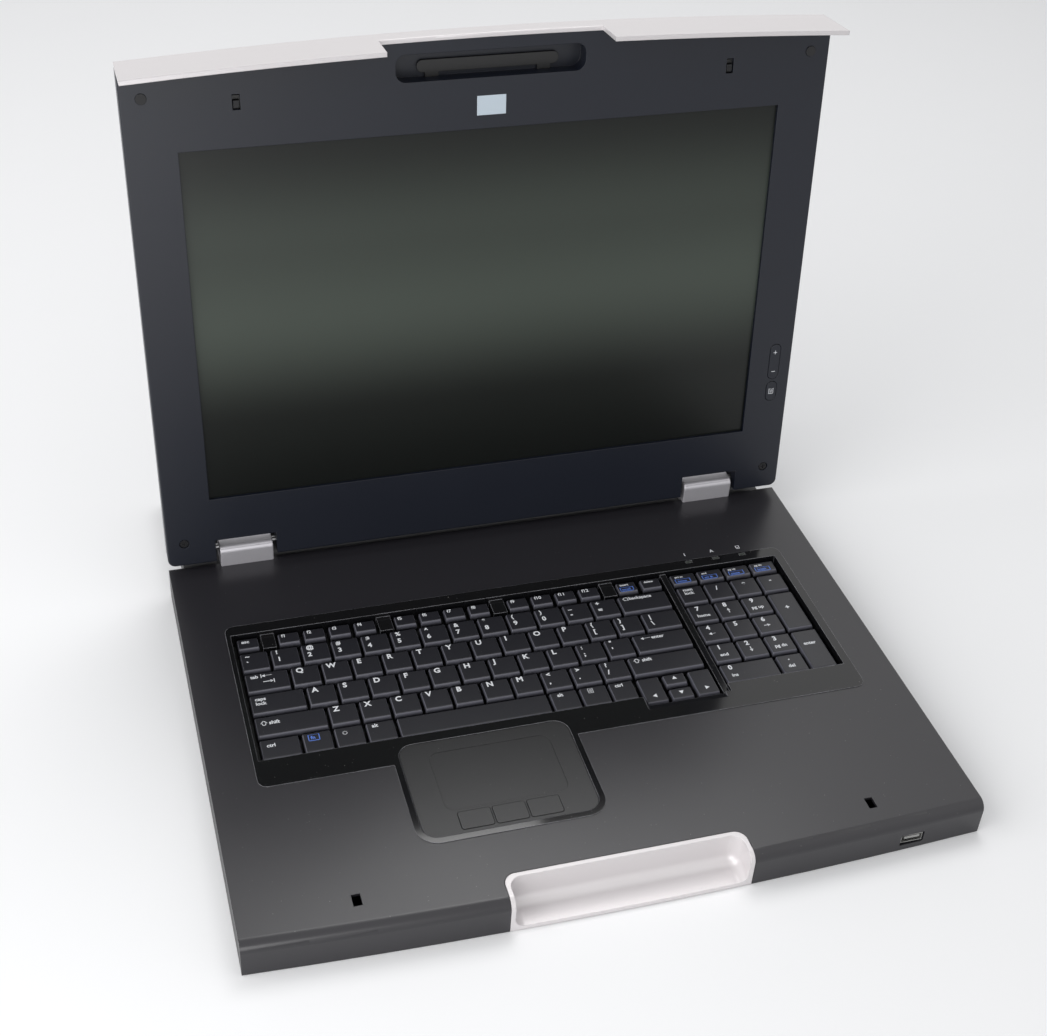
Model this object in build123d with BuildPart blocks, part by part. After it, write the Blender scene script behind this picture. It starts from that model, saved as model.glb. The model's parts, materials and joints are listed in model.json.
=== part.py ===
from build123d import *
import os
from math import cos, radians, sin

# Rackmount LCD console drawer, drawn in its open pose, in millimetres.
# X runs to the right, Y to the back and Z up. The underside of the tray lies on Z = 0,
# and Y = 0 is the line where the face of the open lid meets the deck of the tray.

os.makedirs("parts", exist_ok=True)

# Tray
tray_width = 428.0
tray_height = 22.8
front_corner_reach = 305.4        # from the lid line forward to the front corners
front_bow = 6.3                   # how far the middle of the front bulges past its corners
bullnose_radius = 6.0
deck_thickness = 2.0
skirt_thickness = 2.5
deck_rear_y = 5.0
sheet = 1.2                       # steel sheet of the pan and of the rear cover
edge_gap = 0.3                    # between neighbouring mouldings
running_gap = 0.3                 # between parts that move past each other

# Rear housing behind the hinge line
rear_inset = 10.0                 # each side of the rear is in from the tray's side
rear_end_y = 110.0
rear_step_y = 24.0                # where the low shelf turns up into the housing
rear_height = 36.8
shelf_drop = 2.5                  # shelf under the deck, so that the lid can swing

# Screws
screw_radius = 1.5
screw_head_radius = 2.8
screw_head_height = 0.6
screw_length = 9.0
boss_radius = 4.0
fit_gap = 0.05
deck_boss_inset = 14.0
deck_boss_ys = (-285.0, -150.0, -15.0)
rear_post_inset = 8.0
rear_post_ys = (35.0, 98.0)

# Slide rail holes in the side walls
rail_hole_radius = 2.0
rail_hole_ys = (-250.0, -50.0)
rail_hole_z = 11.0

# Keyboard
key_pitch = 19.05
key_gap = 0.85
key_drop = 2.2                    # key tops under the deck
cap_height = 4.5
cap_side_inset = 1.1
cap_front_inset = 2.4
cap_back_inset = 0.8
cap_corner = 1.0
key_travel = 2.5
stem_size = 4.6
stem_below_guide = 0.4
stabiliser_inset = 8.0
wide_key = 28.0                   # keys wider than this get a stem near each end
guide_thickness = 1.2
guide_posts_across = 4
guide_posts_deep = 2
membrane_thickness = 1.0
key_base_thickness = 1.0
row_back_y = -83.2                # back edge of the number row
row_depth = 18.0
block_left = -181.6
block_right = 100.3
q_row_shift = 28.5
a_row_shift = 34.9
z_row_shift = 44.3
f_row_back_y = -69.6
f_row_depth = 11.6
f_key_width = 14.5
f_key_pitch = 16.25
f_group_lefts = (-155.8, -80.8, -5.7)
insert_left = 69.3
delete_left = 86.1
escape_left = -181.5
arrow_left = 52.3
arrow_width = 15.3
arrow_pitch = 16.8
arrow_back_y = -160.0
arrow_depth = 23.6
arrow_half_depth = 11.1
keypad_left = 107.5
bottom_left_width = 24.4          # control key at the left
space_width = 94.4
right_control_left = 33.9
right_control_width = 16.7
zero_width = 37.2

# Keyboard surround with the ring around the touchpad
surround_left = -187.2
surround_right = 190.0
surround_back_y = -59.6
surround_front_y = -199.2
surround_corner = 6.0
surround_lip = 0.4                # how far it stands on the deck
surround_overlap = 1.5
surround_depth = 3.0
well_left = -184.1
well_right = 184.6
well_back_y = -68.2
well_front_y = -178.2
well_margin = 1.7                 # from the letter block to the divider
well_wall = 1.2
arrow_bay_front_y = -185.0
arrow_bay_margin = 1.3
arrow_bevel = 4.5
arrow_bevel_drop = 1.4
divider_width = 4.1
filler_drop = 0.2
filler_gap = 1.4
plate_rim = 2.5                   # key plates reach past the well
plate_post_inset = 12.0

# Touchpad
pad_left = -104.5
pad_right = -1.5
pad_front_y = -257.5
pad_back_y = -185.5
pad_corner = 9.0
pad_ring = 4.2
pad_rise = 0.1
pad_boss_inset = 6.5
pad_boss_radius = 2.5
pad_plate_thickness = 2.0
pad_wall = 1.5
pad_area_left = -88.0
pad_area_right = -15.0
pad_area_back_y = -194.5
pad_area_front_y = -240.0
pad_recess = 0.4
pad_board_thickness = 1.6
pad_skirt = 3.2
pad_area_corner = 6.0
pad_button_left = -83.2
pad_button_pitch = 20.2
pad_button_web = 0.8              # between the holes of the buttons
pad_button_back_y = -242.2
pad_button_front_y = -255.0
pad_button_gap = 0.3
pad_button_corner = 1.5
pad_button_proud = 0.2
pad_button_travel = 0.6
pad_button_flange = 0.6
pad_plunger_radius = 1.5
pad_switch_size = 4.0
pad_switch_height = 0.9

# Handle cup in the middle of the front
cup_half_width = 70.0
cup_back_y = -291.0
cup_rim = 2.6
cup_corner = 7.0
cup_floor_z = 2.8
cup_cove = 6.0

# Latch slots of the deck
slot_inset = 64.6                 # middle of a latch slot in from the tray's side
slot_width = 4.9
slot_length = 7.8
slot_y = -289.1

# Front USB socket
usb_inset = 44.7
usb_z = 7.8
usb_opening_width = 15.0
usb_opening_height = 8.0
usb_shell_width = 13.2
usb_shell_height = 5.8
usb_shell_depth = 14.0
usb_shell_wall = 0.4
usb_tongue = 1.8
usb_recess = 0.8

usb_carrier_back = 5.0
usb_window_corner = 0.8

# Rear sockets and boards
board_thickness = 1.6
standoff_radius = 3.0
standoff_height = 5.0
board_inset = 5.0
board_front_y = 32.0
board_rear_y = 106.0
power_board_x = -130.0
power_board_width = 90.0
control_board_x = 70.0
control_board_width = 160.0
transformer_size = 30.0
capacitor_radius = 7.0
power_part_height = 20.0
chip_size = 18.0
chip_pitch = 44.0
chip_height = 2.0
chip_count = 3
inlet_x = -130.0
inlet_width = 28.0
inlet_height = 22.0
inlet_depth = 20.0
inlet_wall = 2.0
inlet_corner = 3.0
inlet_pin_pitch = 7.0
inlet_pin_width = 4.0
inlet_pin_height = 2.0
inlet_pin_length = 12.0
inlet_pin_drop = 2.0
inlet_earth_rise = 4.0
video_x = 20.0
video_width = 31.0
video_height = 13.0
video_depth = 16.0
video_shell_width = 17.0
video_shell_height = 8.5
video_shell_depth = 5.0
video_post_pitch = 12.5
video_post_radius = 2.6
video_pin_pitch = 2.3
video_pin_count = 5
video_pin_radius = 0.5
host_x = 90.0
host_width = 12.0
host_height = 11.0
host_depth = 16.0
host_wall = 1.5
host_tongue_width = 5.6
host_tongue_height = 3.2
vent_x = 150.0
vent_pitch = 5.0
vent_count = 8
vent_length = 20.0
vent_width = 2.5
window_corner = 0.8

# Indicator windows
indicator_xs = (124.9, 144.3, 163.4)
indicator_y = -62.1
indicator_width = 4.4
indicator_height = 2.0

# Lid, in its own plane: x across, up from the deck line, depth behind the face
lid_tilt = 5.67                   # leaning back, degrees
lid_thickness = 13.6
lid_bottom = 5.6
lid_corner = 5.0
lid_top_side = 334.2              # outer top of the fascia at its ends
lid_bow = 6.4
fascia_thickness = 2.6
fascia_edge = 1.0
fascia_overhang = 23.2            # in front of the lid's face
fascia_notch_half = 67.0
bezel_thickness = 2.2
bezel_edge = 1.0
lid_wall = 1.8
back_thickness = 1.5
screen_side = 30.0                # bezel beside the screen
screen_bottom = 52.95
screen_top = 283.97
panel_margin = 2.5
panel_thickness = 2.2
panel_gap = 0.2
module_margin = 7.1
module_thickness = 7.2
bumper_inset = 12.25
bumper_up = 316.2
bumper_radius = 3.1
bumper_proud = 0.4
bumper_seat = 1.2
lid_screw_inset = 11.5
lid_screw_up = 22.2
lid_screw_recess_radius = 3.3
lid_screw_recess = 1.4
lid_screw_head = 1.1
lid_screw_head_radius = 2.7
lid_screw_shank_radius = 1.2
lid_screw_shank = 7.5
lid_screw_drive = 0.7
lid_screw_drive_length = 3.2
lid_boss_radius = 3.4
display_board_left = -60.0
display_board_right = 100.0
display_board_low = 90.0
display_board_high = 160.0
display_board_thickness = 1.6
display_chip_height = 0.8
lid_slot_inset = 64.7
lid_slot_width = 4.5
lid_slot_low = 306.2
lid_slot_high = 315.2
pocket_half_width = 57.3
pocket_low = 314.6
pocket_high = 330.8
pocket_depth = 10.5
pocket_corner = 6.0
pocket_wall = 1.2
button_inset = 15.8               # left edge of the controls in from the lid's side
button_width = 7.2
rocker_low = 91.9
rocker_high = 117.6
menu_low = 75.2
menu_high = 89.5
button_gap = 0.35
button_proud = 0.1
button_corner = 3.4
button_depth = 4.6
rocker_pin_depth = 3.6
rocker_pin_radius = 0.8
rocker_ear_width = 1.4
rocker_ear_gap = 0.4
rocker_ear_length = 6.0
rocker_pin_gap = 0.15
menu_flange = 0.8
badge_up = 298.0
badge_width = 17.7
badge_height = 11.8
badge_thickness = 0.8
badge_proud = 0.2

# Latch
bar_half_width = 43.0
bar_low = 317.3
bar_high = 324.6
latch_depth = 8.6                 # behind the face
latch_thickness = 1.6
latch_arm_x = 34.0
latch_arm_width = 8.0
rail_low = 302.0
rail_high = 309.5
rail_pad_reach = 4.7              # pads past the middle of the hooks
rail_step_back = 7.3              # steps of the rail short of the hooks
rail_pad_high = 314.0
rail_pad_depth = 2.6
rail_rib_back = 29.3              # outer ribs short of the hooks
rail_rib_pitch = 45.0
rail_rib_width = 4.0
hook_width = 3.3
hook_length = 4.2
hook_low = 307.2
hook_tip_depth = 0.6
hook_travel = 6.0
hook_gap = 0.25
hook_nose = 1.0
hook_nose_length = 1.8
hook_head = 1.0
hook_head_rim = 0.8

# Hinge
hinge_y = 10.5
hinge_above_deck = 10.2
hinge_pin_radius = 1.9
hinge_pin_gap = 0.15
hinge_left_inset = 34.0           # left cover in from the left side
hinge_right_inset = 34.5          # right cover in from the right side
hinge_cover_width = 34.9
hinge_cover_front_y = 1.5
hinge_cover_back_y = 19.5
hinge_cover_height = 14.6         # above the deck
hinge_cover_radius = 4.0
hinge_cover_wall = 1.2
hinge_cover_edge = 0.8
hinge_notch_gap = 2.6
hinge_notch_top = 21.9
hinge_notch_wall = 1.5
barrel_radius = 2.9
bracket_web = 3.0
bracket_foot = 2.0
arm_thickness = 2.0
arm_gap = 0.3
arm_plate_low = 24.0
arm_plate_top = 44.0
arm_ear_low = 7.7
arm_ear_depth = 5.0

# Levels that follow from the sizes above
deck_under = tray_height - deck_thickness
shelf_top = tray_height - shelf_drop
half = tray_width / 2
rear_half = half - rear_inset
deck_boss_x = half - deck_boss_inset
rear_post_x = rear_half - rear_post_inset
slot_x = half - slot_inset
usb_x = half - usb_inset
screen_half_width = half - screen_side
bumper_x = half - bumper_inset
lid_screw_x = half - lid_screw_inset
lid_slot_x = half - lid_slot_inset
button_left = half - button_inset
rail_half_width = lid_slot_x + rail_pad_reach
rail_step_x = lid_slot_x - rail_step_back
rail_rib_x = lid_slot_x - rail_rib_back
rail_rib_xs = (-rail_rib_x, -rail_rib_x + rail_rib_pitch, rail_rib_x - rail_rib_pitch, rail_rib_x)
hinge_cover_lefts = (-half + hinge_left_inset, half - hinge_right_inset - hinge_cover_width)
key_top = tray_height - key_drop
skirt_z = key_top - cap_height
guide_top = skirt_z - key_travel - running_gap
guide_under = guide_top - guide_thickness
stem_low = guide_under - stem_below_guide
membrane_top = stem_low - key_travel - running_gap
membrane_under = membrane_top - membrane_thickness
key_base_under = membrane_under - key_base_thickness
hinge_z = tray_height + hinge_above_deck
surround_top = tray_height + surround_lip
surround_under = surround_top - surround_depth
pad_top = tray_height + pad_rise
pad_board_top = pad_top - pad_plate_thickness - pad_skirt
pad_board_under = pad_board_top - pad_board_thickness
plate_left = well_left - plate_rim
plate_right = well_right + plate_rim
plate_back_y = well_back_y + plate_rim
plate_front_y = arrow_bay_front_y - plate_rim
divider_left = block_right + well_margin
divider_right = divider_left + divider_width
bay_left = arrow_left - arrow_bay_margin
board_z = sheet + standoff_height
board_top = board_z + board_thickness
board_middle_y = (board_front_y + board_rear_y) / 2
rear_socket_z = board_top + inlet_height / 2
back_inner = lid_thickness - back_thickness
lid_inner_top = lid_top_side - fascia_thickness
module_half = screen_half_width + module_margin
module_low = screen_bottom - module_margin
module_high = screen_top + module_margin
tilt = radians(lid_tilt)

# The lid's plane: local x across, local y up the lid, local z out of its face.
lid_plane = Plane(origin=(0, 0, tray_height), x_dir=(1, 0, 0), z_dir=(0, -cos(tilt), sin(tilt)))


def lid_at(depth):
    """The lid's plane moved behind its face by a depth."""
    return lid_plane.offset(-depth)


def front_y(x):
    """Front edge of the tray at a place across it."""
    return -front_corner_reach - front_bow * (1 - (x / half) ** 2)


def box_between(x0, x1, y0, y1, z0, z1, mode=Mode.ADD):
    """A block between two corners, in the frame of the tray."""
    with Locations(((x0 + x1) / 2, (y0 + y1) / 2, (z0 + z1) / 2)):
        Box(abs(x1 - x0), abs(y1 - y0), abs(z1 - z0), mode=mode)


def lid_block(x0, x1, up0, up1, depth0, depth1, mode=Mode.ADD):
    """A block between two corners, in the frame of the lid."""
    middle = Location(((x0 + x1) / 2, (up0 + up1) / 2, -(depth0 + depth1) / 2))
    with Locations(lid_plane.location * middle):
        Box(abs(x1 - x0), abs(up1 - up0), abs(depth1 - depth0), mode=mode)


def lid_rectangle(x0, x1, up0, up1, depth0, depth1, corner, mode=Mode.ADD):
    """A block with rounded corners, in the frame of the lid."""
    with BuildSketch(lid_at(depth0)) as shape:
        with Locations(((x0 + x1) / 2, (up0 + up1) / 2)):
            RectangleRounded(abs(x1 - x0), abs(up1 - up0), corner)
    extrude(shape.sketch, amount=depth0 - depth1, mode=mode)


def lid_rod(x0, x1, up, depth, radius, mode=Mode.ADD):
    """A round bar along X at a height up the lid and a depth behind its face."""
    start = lid_plane.from_local_coords((x0, up, -depth))
    with BuildSketch(Plane(origin=start, x_dir=(0, 1, 0), z_dir=(1, 0, 0))) as section:
        Circle(radius)
    extrude(section.sketch, amount=x1 - x0, mode=mode)


# Outline of the lid up to the fascia, with its bowed top and rounded lower corners.
with BuildSketch(lid_plane) as lid_shape:
    with BuildLine():
        Line((half, lid_inner_top), (half, lid_bottom + lid_corner))
        CenterArc((half - lid_corner, lid_bottom + lid_corner), lid_corner, 270, 90)
        Line((half - lid_corner, lid_bottom), (-half + lid_corner, lid_bottom))
        CenterArc((-half + lid_corner, lid_bottom + lid_corner), lid_corner, 180, 90)
        Line((-half, lid_bottom + lid_corner), (-half, lid_inner_top))
        ThreePointArc((-half, lid_inner_top), (0, lid_inner_top + lid_bow), (half, lid_inner_top))
    make_face()

# Outer body of the tray: the deck moulding and the handle cup are both cut from it.
with BuildPart() as tray_body:
    with BuildSketch(Plane.XY):
        with BuildLine():
            Polyline(
                (half, -front_corner_reach),
                (half, deck_rear_y),
                (-half, deck_rear_y),
                (-half, -front_corner_reach),
            )
            ThreePointArc(
                (-half, -front_corner_reach),
                (0, front_y(0)),
                (half, -front_corner_reach),
            )
        make_face()
    extrude(amount=tray_height)
    fillet(tray_body.edges().group_by(Axis.Z)[-1].group_by(Axis.Y)[0], radius=bullnose_radius)

# Deck: a moulded top with a bullnose front, open below and behind, with the key well,
# the cup, the latch slots and the socket let into it.
with BuildPart() as top_deck:
    add(tray_body.part)
    with BuildSketch(Plane.XY):
        with BuildLine():
            Polyline(
                (half, -front_corner_reach + skirt_thickness),
                (half, deck_rear_y - skirt_thickness),
                (-half, deck_rear_y - skirt_thickness),
                (-half, -front_corner_reach + skirt_thickness),
            )
            ThreePointArc(
                (-half, -front_corner_reach + skirt_thickness),
                (0, front_y(0) + skirt_thickness),
                (half, -front_corner_reach + skirt_thickness),
            )
        make_face()
    extrude(amount=deck_under - bullnose_radius + skirt_thickness, mode=Mode.SUBTRACT)
    with BuildSketch(Plane.XY):
        with BuildLine():
            Polyline(
                (half, -front_corner_reach + bullnose_radius),
                (half, deck_rear_y - skirt_thickness),
                (-half, deck_rear_y - skirt_thickness),
                (-half, -front_corner_reach + bullnose_radius),
            )
            ThreePointArc(
                (-half, -front_corner_reach + bullnose_radius),
                (0, front_y(0) + bullnose_radius),
                (half, -front_corner_reach + bullnose_radius),
            )
        make_face()
    extrude(amount=deck_under, mode=Mode.SUBTRACT)
    # the rear wall stops on the pan's floor
    box_between(-half, half, deck_rear_y - skirt_thickness, deck_rear_y, 0, sheet, Mode.SUBTRACT)
    # screw bosses down to the pan
    with BuildSketch(Plane.XY.offset(sheet)):
        for y in deck_boss_ys:
            with Locations((-deck_boss_x, y), (deck_boss_x, y)):
                Circle(boss_radius)
                Circle(screw_radius + fit_gap, mode=Mode.SUBTRACT)
    extrude(amount=deck_under - sheet)
    # opening under the surround and around the touchpad
    with BuildSketch(Plane.XY.offset(deck_under)):
        with Locations(
            (
                (surround_left + surround_right) / 2,
                (surround_back_y + surround_front_y) / 2,
            )
        ):
            RectangleRounded(
                surround_right - surround_left - 2 * surround_overlap,
                surround_back_y - surround_front_y - 2 * surround_overlap,
                surround_corner - surround_overlap,
            )
        with Locations(((pad_left + pad_right) / 2, (pad_back_y + pad_front_y) / 2)):
            RectangleRounded(
                pad_right - pad_left + 2 * (pad_ring - surround_overlap),
                pad_back_y - pad_front_y + 2 * (pad_ring - surround_overlap),
                pad_corner + pad_ring - surround_overlap,
            )
    extrude(amount=deck_thickness, mode=Mode.SUBTRACT)
    # handle cup opening, through the plate and the skirt
    with BuildSketch(Plane.XY):
        with Locations((0, cup_back_y + edge_gap)):
            Rectangle(
                2 * (cup_half_width + edge_gap),
                -cup_back_y,
                align=(Align.CENTER, Align.MAX),
            )
        fillet(vertices().group_by(Axis.Y)[-1], radius=cup_corner + edge_gap)
    extrude(amount=tray_height, mode=Mode.SUBTRACT)
    # latch slots
    with BuildSketch(Plane.XY.offset(deck_under)):
        with Locations((-slot_x, slot_y), (slot_x, slot_y)):
            Rectangle(slot_width, slot_length)
    extrude(amount=deck_thickness, mode=Mode.SUBTRACT)
    # USB window in the skirt
    with BuildSketch(Plane.XZ.offset(-front_y(usb_x) + front_bow)):
        with Locations((usb_x, usb_z)):
            RectangleRounded(usb_opening_width, usb_opening_height, usb_window_corner)
    extrude(amount=-(2 * front_bow + skirt_thickness), mode=Mode.SUBTRACT)

top_deck.part.label = "top_deck"
export_step(top_deck.part, "parts/top_deck.step")

# Handle cup: a silver scoop, open to the front, that hangs in the middle of the deck.
with BuildPart() as handle_cup:
    with BuildSketch(Plane.XY):
        with Locations((0, cup_back_y)):
            Rectangle(2 * cup_half_width, -cup_back_y, align=(Align.CENTER, Align.MAX))
    extrude(amount=tray_height)
    fillet(
        handle_cup.edges().filter_by(Axis.Z).group_by(Axis.Y)[-1],
        radius=cup_corner,
    )
    add(tray_body.part, mode=Mode.INTERSECT)
    # step over the front edge of the pan
    with BuildSketch(Plane.XY):
        with BuildLine():
            Polyline(
                (half, -front_corner_reach + skirt_thickness),
                (half, 0),
                (-half, 0),
                (-half, -front_corner_reach + skirt_thickness),
            )
            ThreePointArc(
                (-half, -front_corner_reach + skirt_thickness),
                (0, front_y(0) + skirt_thickness),
                (half, -front_corner_reach + skirt_thickness),
            )
        make_face()
    extrude(amount=sheet, mode=Mode.SUBTRACT)
    # the scoop itself: a coved trough with rounded ends
    with BuildPart(mode=Mode.PRIVATE) as scoop:
        with BuildSketch(Plane.XY.offset(cup_floor_z)):
            with Locations((0, cup_back_y - cup_rim)):
                Rectangle(
                    2 * (cup_half_width - cup_rim),
                    -cup_back_y,
                    align=(Align.CENTER, Align.MAX),
                )
        extrude(amount=tray_height)
        fillet(
            scoop.edges().filter_by(Axis.Z).group_by(Axis.Y)[-1],
            radius=cup_corner,
        )
        fillet(
            scoop.edges().group_by(Axis.Z)[0].filter_by(lambda e: e.center().Y > 2 * cup_back_y + cup_corner),
            radius=cup_cove,
        )
    add(scoop.part, mode=Mode.SUBTRACT)

handle_cup.part.label = "handle_cup"
export_step(handle_cup.part, "parts/handle_cup.step")

# Pan: bent sheet steel with side walls, a narrower rear and formed posts.
with BuildPart() as base_pan:
    with BuildSketch(Plane.XY):
        with BuildLine():
            Polyline(
                (half, -front_corner_reach + skirt_thickness + edge_gap),
                (half, deck_rear_y + sheet),
                (rear_half, deck_rear_y + sheet),
                (rear_half, rear_end_y),
                (-rear_half, rear_end_y),
                (-rear_half, deck_rear_y + sheet),
                (-half, deck_rear_y + sheet),
                (-half, -front_corner_reach + skirt_thickness + edge_gap),
            )
            ThreePointArc(
                (-half, -front_corner_reach + skirt_thickness + edge_gap),
                (0, front_y(0) + skirt_thickness + edge_gap),
                (half, -front_corner_reach + skirt_thickness + edge_gap),
            )
        make_face()
    extrude(amount=sheet)
    for side in (-1, 1):
        box_between(side * half, side * (half - sheet),
                    -front_corner_reach + skirt_thickness + edge_gap,
                    -front_corner_reach + bullnose_radius + edge_gap,
                    sheet, deck_under - bullnose_radius + skirt_thickness)
        box_between(side * half, side * (half - sheet),
                    -front_corner_reach + bullnose_radius + edge_gap,
                    deck_rear_y - skirt_thickness - edge_gap, sheet, deck_under)
        box_between(side * half, side * (rear_half - sheet), deck_rear_y + edge_gap,
                    deck_rear_y + sheet, sheet, shelf_top - sheet)
        box_between(side * rear_half, side * (rear_half - sheet), deck_rear_y + edge_gap,
                    rear_step_y, sheet, shelf_top - sheet)
        box_between(side * rear_half, side * (rear_half - sheet), rear_step_y,
                    rear_end_y - sheet, sheet, rear_height - sheet)
    # posts for the rear cover
    with BuildSketch(Plane.XY.offset(sheet)):
        for y in rear_post_ys:
            with Locations((-rear_post_x, y), (rear_post_x, y)):
                Circle(boss_radius)
                Circle(screw_radius + fit_gap, mode=Mode.SUBTRACT)
    extrude(amount=rear_height - 2 * sheet)
    # countersunk holes under the deck bosses
    with BuildSketch(Plane.XY):
        for y in deck_boss_ys:
            with Locations((-deck_boss_x, y), (deck_boss_x, y)):
                Circle(screw_radius + fit_gap)
    extrude(amount=sheet, mode=Mode.SUBTRACT)
    with BuildSketch(Plane.XY):
        for y in deck_boss_ys:
            with Locations((-deck_boss_x, y), (deck_boss_x, y)):
                Circle(screw_head_radius + fit_gap)
    extrude(amount=screw_head_height, mode=Mode.SUBTRACT)
    # holes for the slide rails
    with BuildSketch(Plane.YZ.offset(-half)):
        for y in rail_hole_ys:
            with Locations((y, rail_hole_z)):
                Circle(rail_hole_radius)
    extrude(amount=tray_width, mode=Mode.SUBTRACT)

    # bosses that carry the touchpad board, the boards of the rear and the key base
    with BuildSketch(Plane.XY.offset(sheet)):
        with Locations(
            (pad_left + pad_boss_inset, pad_back_y - pad_boss_inset),
            (pad_right - pad_boss_inset, pad_back_y - pad_boss_inset),
            (pad_left + pad_boss_inset, pad_front_y + pad_boss_inset),
            (pad_right - pad_boss_inset, pad_front_y + pad_boss_inset),
        ):
            Circle(pad_boss_radius)
    extrude(amount=pad_board_under - sheet)
    with BuildSketch(Plane.XY.offset(sheet)):
        for board_x, board_width in (
            (power_board_x, power_board_width),
            (control_board_x, control_board_width),
        ):
            with Locations(
                (board_x - board_width / 2 + board_inset, board_front_y + board_inset),
                (board_x + board_width / 2 - board_inset, board_front_y + board_inset),
                (board_x - board_width / 2 + board_inset, board_rear_y - board_inset),
                (board_x + board_width / 2 - board_inset, board_rear_y - board_inset),
            ):
                Circle(standoff_radius)
    extrude(amount=standoff_height)
    with BuildSketch(Plane.XY.offset(sheet)):
        with Locations(((plate_left + plate_right) / 2, (plate_back_y + plate_front_y) / 2)):
            with GridLocations(
                (plate_right - plate_left - 2 * plate_post_inset) / (guide_posts_across - 1),
                (plate_back_y - plate_front_y - 2 * plate_post_inset) / (guide_posts_deep - 1),
                guide_posts_across,
                guide_posts_deep,
            ):
                Circle(standoff_radius)
    extrude(amount=key_base_under - sheet)

base_pan.part.label = "base_pan"
export_step(base_pan.part, "parts/base_pan.step")

# Rear cover: one bent sheet, with the low shelf under the lid and the top of the housing.
with BuildPart() as rear_cover:
    box_between(-rear_half, rear_half, deck_rear_y + edge_gap, rear_step_y,
                shelf_top - sheet, shelf_top)
    box_between(-rear_half, rear_half, rear_step_y - sheet, rear_step_y,
                shelf_top - sheet, rear_height)
    box_between(-rear_half, rear_half, rear_step_y - sheet, rear_end_y,
                rear_height - sheet, rear_height)
    for side in (-1, 1):
        with BuildSketch(Plane.XY.offset(rear_height - sheet)):
            for y in rear_post_ys:
                with Locations((side * rear_post_x, y)):
                    Circle(screw_radius + fit_gap)
        extrude(amount=sheet, mode=Mode.SUBTRACT)
        with BuildSketch(Plane.XY.offset(rear_height - screw_head_height)):
            for y in rear_post_ys:
                with Locations((side * rear_post_x, y)):
                    Circle(screw_head_radius + fit_gap)
        extrude(amount=screw_head_height, mode=Mode.SUBTRACT)
    fillet(
        rear_cover.edges().filter_by(Axis.X).group_by(Axis.Z)[-1].group_by(Axis.Y)[0],
        radius=sheet,
    )

rear_cover.part.label = "rear_cover"
export_step(rear_cover.part, "parts/rear_cover.step")

# Rear panel with the windows of its sockets and a row of vents.
with BuildPart() as rear_panel:
    box_between(-rear_half, rear_half, rear_end_y - sheet, rear_end_y,
                sheet, rear_height - sheet)
    with BuildSketch(Plane.XZ.offset(-rear_end_y)):
        with Locations((inlet_x, rear_socket_z)):
            RectangleRounded(inlet_width + 2 * edge_gap, inlet_height + 2 * edge_gap, window_corner)
        with Locations((video_x, rear_socket_z)):
            RectangleRounded(video_width + 2 * edge_gap, video_height + 2 * edge_gap, window_corner)
        with Locations((host_x, rear_socket_z)):
            RectangleRounded(host_width + 2 * edge_gap, host_height + 2 * edge_gap, window_corner)
        with Locations((vent_x, rear_socket_z)):
            with GridLocations(vent_pitch, 0, vent_count, 1):
                SlotOverall(vent_length, vent_width, rotation=90)
    extrude(amount=sheet, mode=Mode.SUBTRACT)

rear_panel.part.label = "rear_panel"
export_step(rear_panel.part, "parts/rear_panel.step")

# Mains inlet: a block with a recess and three flat pins.
with BuildPart() as power_inlet:
    box_between(inlet_x - inlet_width / 2, inlet_x + inlet_width / 2,
                rear_end_y - inlet_depth, rear_end_y,
                rear_socket_z - inlet_height / 2, rear_socket_z + inlet_height / 2)
    with BuildSketch(Plane.XZ.offset(-rear_end_y)):
        with Locations((inlet_x, rear_socket_z)):
            RectangleRounded(inlet_width - 2 * inlet_wall, inlet_height - 2 * inlet_wall, inlet_corner)
    extrude(amount=inlet_depth - inlet_wall, mode=Mode.SUBTRACT)
    with BuildSketch(Plane.XZ.offset(-rear_end_y + inlet_depth - inlet_wall)):
        with Locations(
            (inlet_x - inlet_pin_pitch, rear_socket_z - inlet_pin_drop),
            (inlet_x, rear_socket_z - inlet_pin_drop + inlet_earth_rise),
            (inlet_x + inlet_pin_pitch, rear_socket_z - inlet_pin_drop),
        ):
            Rectangle(inlet_pin_width, inlet_pin_height)
    extrude(amount=-inlet_pin_length)

power_inlet.part.label = "power_inlet"
export_step(power_inlet.part, "parts/power_inlet.step")

# Video socket: a shell with its insulator and the two hex posts.
with BuildPart() as video_port:
    box_between(video_x - video_width / 2, video_x + video_width / 2,
                rear_end_y - video_depth, rear_end_y,
                rear_socket_z - video_height / 2, rear_socket_z + video_height / 2)
    with BuildSketch(Plane.XZ.offset(-rear_end_y)):
        with Locations((video_x, rear_socket_z)):
            RectangleRounded(video_shell_width, video_shell_height, inlet_wall)
        with Locations((video_x - video_post_pitch, rear_socket_z),
                       (video_x + video_post_pitch, rear_socket_z)):
            RegularPolygon(video_post_radius, 6)
    extrude(amount=-video_shell_depth)
    with BuildSketch(Plane.XZ.offset(-rear_end_y - video_shell_depth)):
        for row in (-1, 0, 1):
            with Locations((video_x + row * video_pin_pitch / 2, rear_socket_z + row * video_pin_pitch)):
                with GridLocations(video_pin_pitch, 0, video_pin_count, 1):
                    Circle(video_pin_radius)
    extrude(amount=video_shell_depth, mode=Mode.SUBTRACT)

video_port.part.label = "video_port"
export_step(video_port.part, "parts/video_port.step")

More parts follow.
